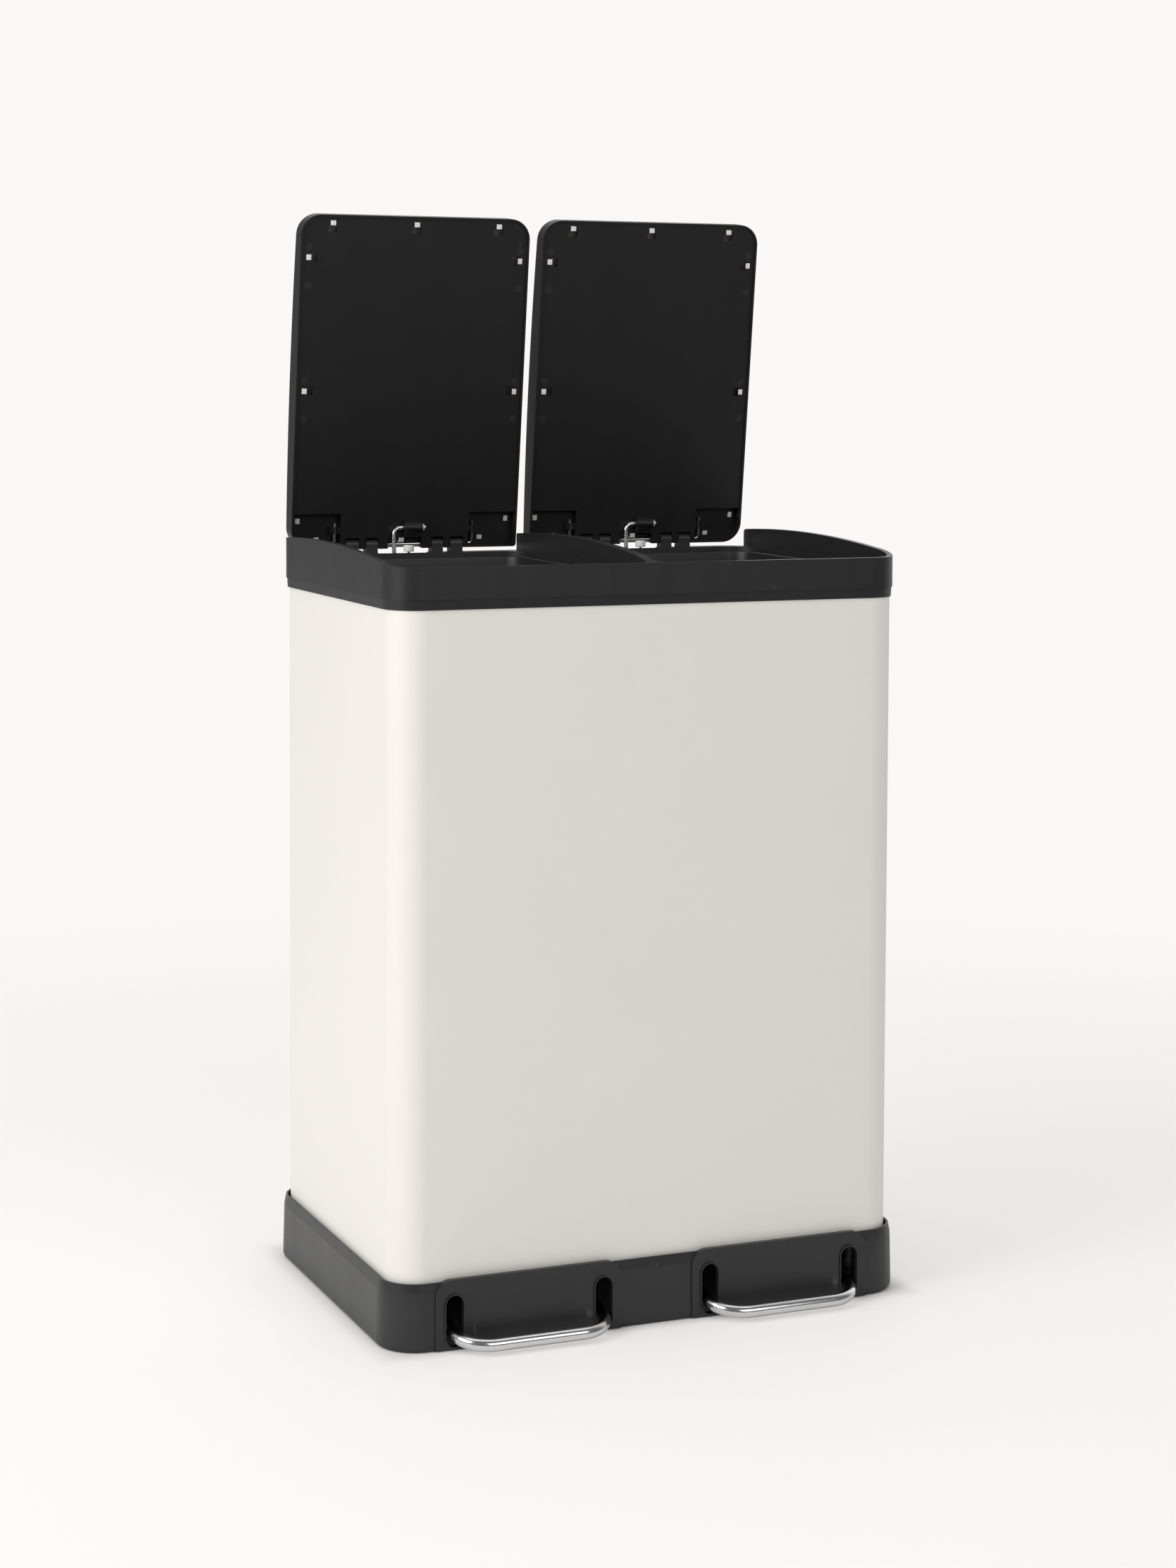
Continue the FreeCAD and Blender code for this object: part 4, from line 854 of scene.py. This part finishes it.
# Lamps: name, place, aim, width and height in metres, watts
LAMPS = (("key", (-2.9, -0.7, 1.9), (0, 0, 0.4), (1.8, 1.8), 62.0),
         ("front", (0.6, -3.3, 2.0), (0, 0, 0.4), (2.2, 1.8), 26.0),
         ("top", (0.0, 0.6, 3.0), (0, 0, 0), (2.6, 2.0), 30.0))

# Camera: its place from the shell's middle plane, and the lens in the photograph's pixels
CAMERA_AT = (-1.012, -2.425, 0.812)
CAMERA_YAW, CAMERA_PITCH, CAMERA_ROLL = math.radians(22.71), math.radians(-3.41), math.radians(0.24)
PHOTO_FOCAL, PHOTO_TALL = 4147.0, 2212.0
SENSOR, LENS_SHIFT = 36.0, -0.15


def soft_lamp(name, at, aim, size, watts):
    data = bpy.data.lights.new(name, "AREA")
    data.shape = "RECTANGLE"
    data.size, data.size_y = size
    data.energy = watts
    lamp = bpy.data.objects.new(name, data)
    lamp.location = at
    lamp.rotation_euler = (Vector(aim) - Vector(at)).to_track_quat("-Z", "Y").to_euler()
    bpy.context.scene.collection.objects.link(lamp)


class BIN_OT_stage(bpy.types.Operator):
    """Pale floor, soft lamps, world and the camera"""
    bl_idname = "bin.stage"
    bl_label = "Stage"

    def execute(self, context):
        scene = context.scene
        scene.view_settings.view_transform = "Standard"
        self.floor(scene)
        self.world(scene)
        for lamp in LAMPS:
            soft_lamp(*lamp)
        self.camera(scene)
        return {"FINISHED"}

    def floor(self, scene):
        """A flat square that the camera sees turn to plain background light, most of all far from the bin.

        Glossy rays see it glow as painted reflections: a darker grey before the bin and bright to its left,
        as in a studio with one window.
        """
        axis = np.linspace(-FLOOR_HALF, FLOOR_HALF, FLOOR_LINES)
        x, y = np.meshgrid(axis, axis, indexing="ij")
        grid = np.stack([x, y, np.zeros_like(x)], axis=-1).reshape(-1, 3)
        mesh = bpy.data.meshes.new("floor")
        mesh.from_pydata(grid.tolist(), [], quads(FLOOR_LINES, FLOOR_LINES, False, False)[:, ::-1].tolist())
        f = Finish("floor", FLOOR_COLOUR, 0.7)
        away = f.node("ShaderNodeVectorMath", {"operation": "LENGTH"}, f.place((1.0, 1.0, 0.0)), out="Value")
        far = away.over(1.25, 0.75)
        x, y = f.axes(f.place(), "XY")
        behind = y.over(-0.9, 0.4)
        past_side = abs(x) - FOOTPRINT_HALF[0]
        past_end = abs(y - MID_Y * MM) - FOOTPRINT_HALF[1]
        clear = past_side.larger(past_end).over(0.012, 0.012)
        left = 0.0 - x
        # Painted reflection: a bright patch left of the bin that only glossy rays see.
        painted_window_reflection = left.over(0.26, 0.02) * (1.0 - left.over(0.65, 0.20))
        share = f.ray("Camera") * clear * (0.5 + far * 0.5) + f.ray("Glossy") * painted_window_reflection
        glow = f.node("ShaderNodeEmission", {}, f.blend(far, shade(BACKDROP, 1.04), BACKDROP), 1.0)
        # Painted reflection: the floor before the bin glows grey for glossy rays only.
        painted_dim_reflection = f.node("ShaderNodeEmission", {}, (*(FLOOR_BEFORE,) * 3, 1.0), 1.0)
        lit = f.node("ShaderNodeMixShader", {}, share, Value(f, f.shader.outputs[0]), glow)
        mixed = f.node("ShaderNodeMixShader", {}, f.ray("Glossy") * (1.0 - behind), lit, painted_dim_reflection)
        f.tree.links.new(mixed.socket, f.tree.nodes["Material Output"].inputs["Surface"])
        mesh.materials.append(f.material)
        floor = bpy.data.objects.new("floor", mesh)
        scene.collection.objects.link(floor)

    def world(self, scene):
        """Even light for the surfaces, light by direction for mirrored rays, and a plain backdrop."""
        world = bpy.data.worlds.new("studio")
        world.use_nodes = True
        g = Graph(world.node_tree)
        plain = g.tree.nodes["Background"]
        plain.inputs["Color"].default_value = (1.0, 1.0, 1.0, 1.0)
        plain.inputs["Strength"].default_value = 0.42
        heading = g.node("ShaderNodeTexCoord", {}, out="Generated")
        right, ahead, rising = g.axes(heading, "XYZ")
        behind = ahead.over(0.0, 0.35) * (0.12 + right.over(0.0, 0.3) * 0.80)
        above = rising.over(0.08, 0.12) * 0.09
        mirrored = g.node("ShaderNodeBackground", {}, (1.0, 1.0, 1.0, 1.0), 0.07 + (behind + above))
        seen = g.node("ShaderNodeBackground", {}, (*BACKDROP, 1.0), 1.0)
        lit = g.node("ShaderNodeMixShader", {}, g.ray("Glossy"), Value(g, plain.outputs[0]), mirrored)
        sky = g.node("ShaderNodeMixShader", {}, g.ray("Camera"), lit, seen)
        g.tree.links.new(sky.socket, g.tree.nodes["World Output"].inputs["Surface"])
        scene.world = world

    def camera(self, scene):
        """Ahead = (sin yaw cos pitch, cos yaw cos pitch, sin pitch); right and up are turned by the roll."""
        sin_yaw, cos_yaw = math.sin(CAMERA_YAW), math.cos(CAMERA_YAW)
        sin_pitch, cos_pitch = math.sin(CAMERA_PITCH), math.cos(CAMERA_PITCH)
        ahead = np.array([sin_yaw * cos_pitch, cos_yaw * cos_pitch, sin_pitch])
        level = np.array([cos_yaw, -sin_yaw, 0.0])
        rise = np.cross(level, ahead)
        right = math.cos(CAMERA_ROLL) * level + math.sin(CAMERA_ROLL) * rise
        up = math.cos(CAMERA_ROLL) * rise - math.sin(CAMERA_ROLL) * level
        data = bpy.data.cameras.new("camera")
        data.sensor_fit = "VERTICAL"
        data.sensor_height = SENSOR
        data.lens = PHOTO_FOCAL * SENSOR / PHOTO_TALL
        data.shift_y = LENS_SHIFT
        camera = bpy.data.objects.new("camera", data)
        turn = Matrix(np.column_stack([right, up, -ahead]).tolist()).to_4x4()
        x, y, z = CAMERA_AT
        camera.matrix_world = Matrix.Translation((x, y + MID_Y * MM, z)) @ turn
        scene.collection.objects.link(camera)
        scene.camera = camera


# ---------------------------------------------------------------- panel and registration

OPERATORS = (BIN_OT_shell, BIN_OT_mouldings, BIN_OT_lid_skins, BIN_OT_wires, BIN_OT_pedals, BIN_OT_dampers,
             BIN_OT_buckets, BIN_OT_fasteners, BIN_OT_stage)


class BIN_PT_panel(bpy.types.Panel):
    """Sizes, colours and the operators that make the bin's surfaces"""
    bl_idname = "BIN_PT_panel"
    bl_label = "Double recycling bin"
    bl_space_type = "VIEW_3D"
    bl_region_type = "UI"
    bl_category = "Bin"

    def draw(self, context):
        sizes = context.scene.bin_sizes
        for name in sizes.__annotations__:
            self.layout.prop(sizes, name)
        for operator in OPERATORS:
            self.layout.operator(operator.bl_idname)


CLASSES = (BinSizes,) + OPERATORS + (BIN_PT_panel,)


def register():
    for cls in CLASSES:
        bpy.utils.register_class(cls)
    bpy.types.Scene.bin_sizes = PointerProperty(type=BinSizes)


def unregister():
    del bpy.types.Scene.bin_sizes
    for cls in reversed(CLASSES):
        bpy.utils.unregister_class(cls)


def main():
    register()
    for operator in OPERATORS:
        group, name = operator.bl_idname.split(".")
        getattr(getattr(bpy.ops, group), name)()


if __name__ == "__main__":
    main()
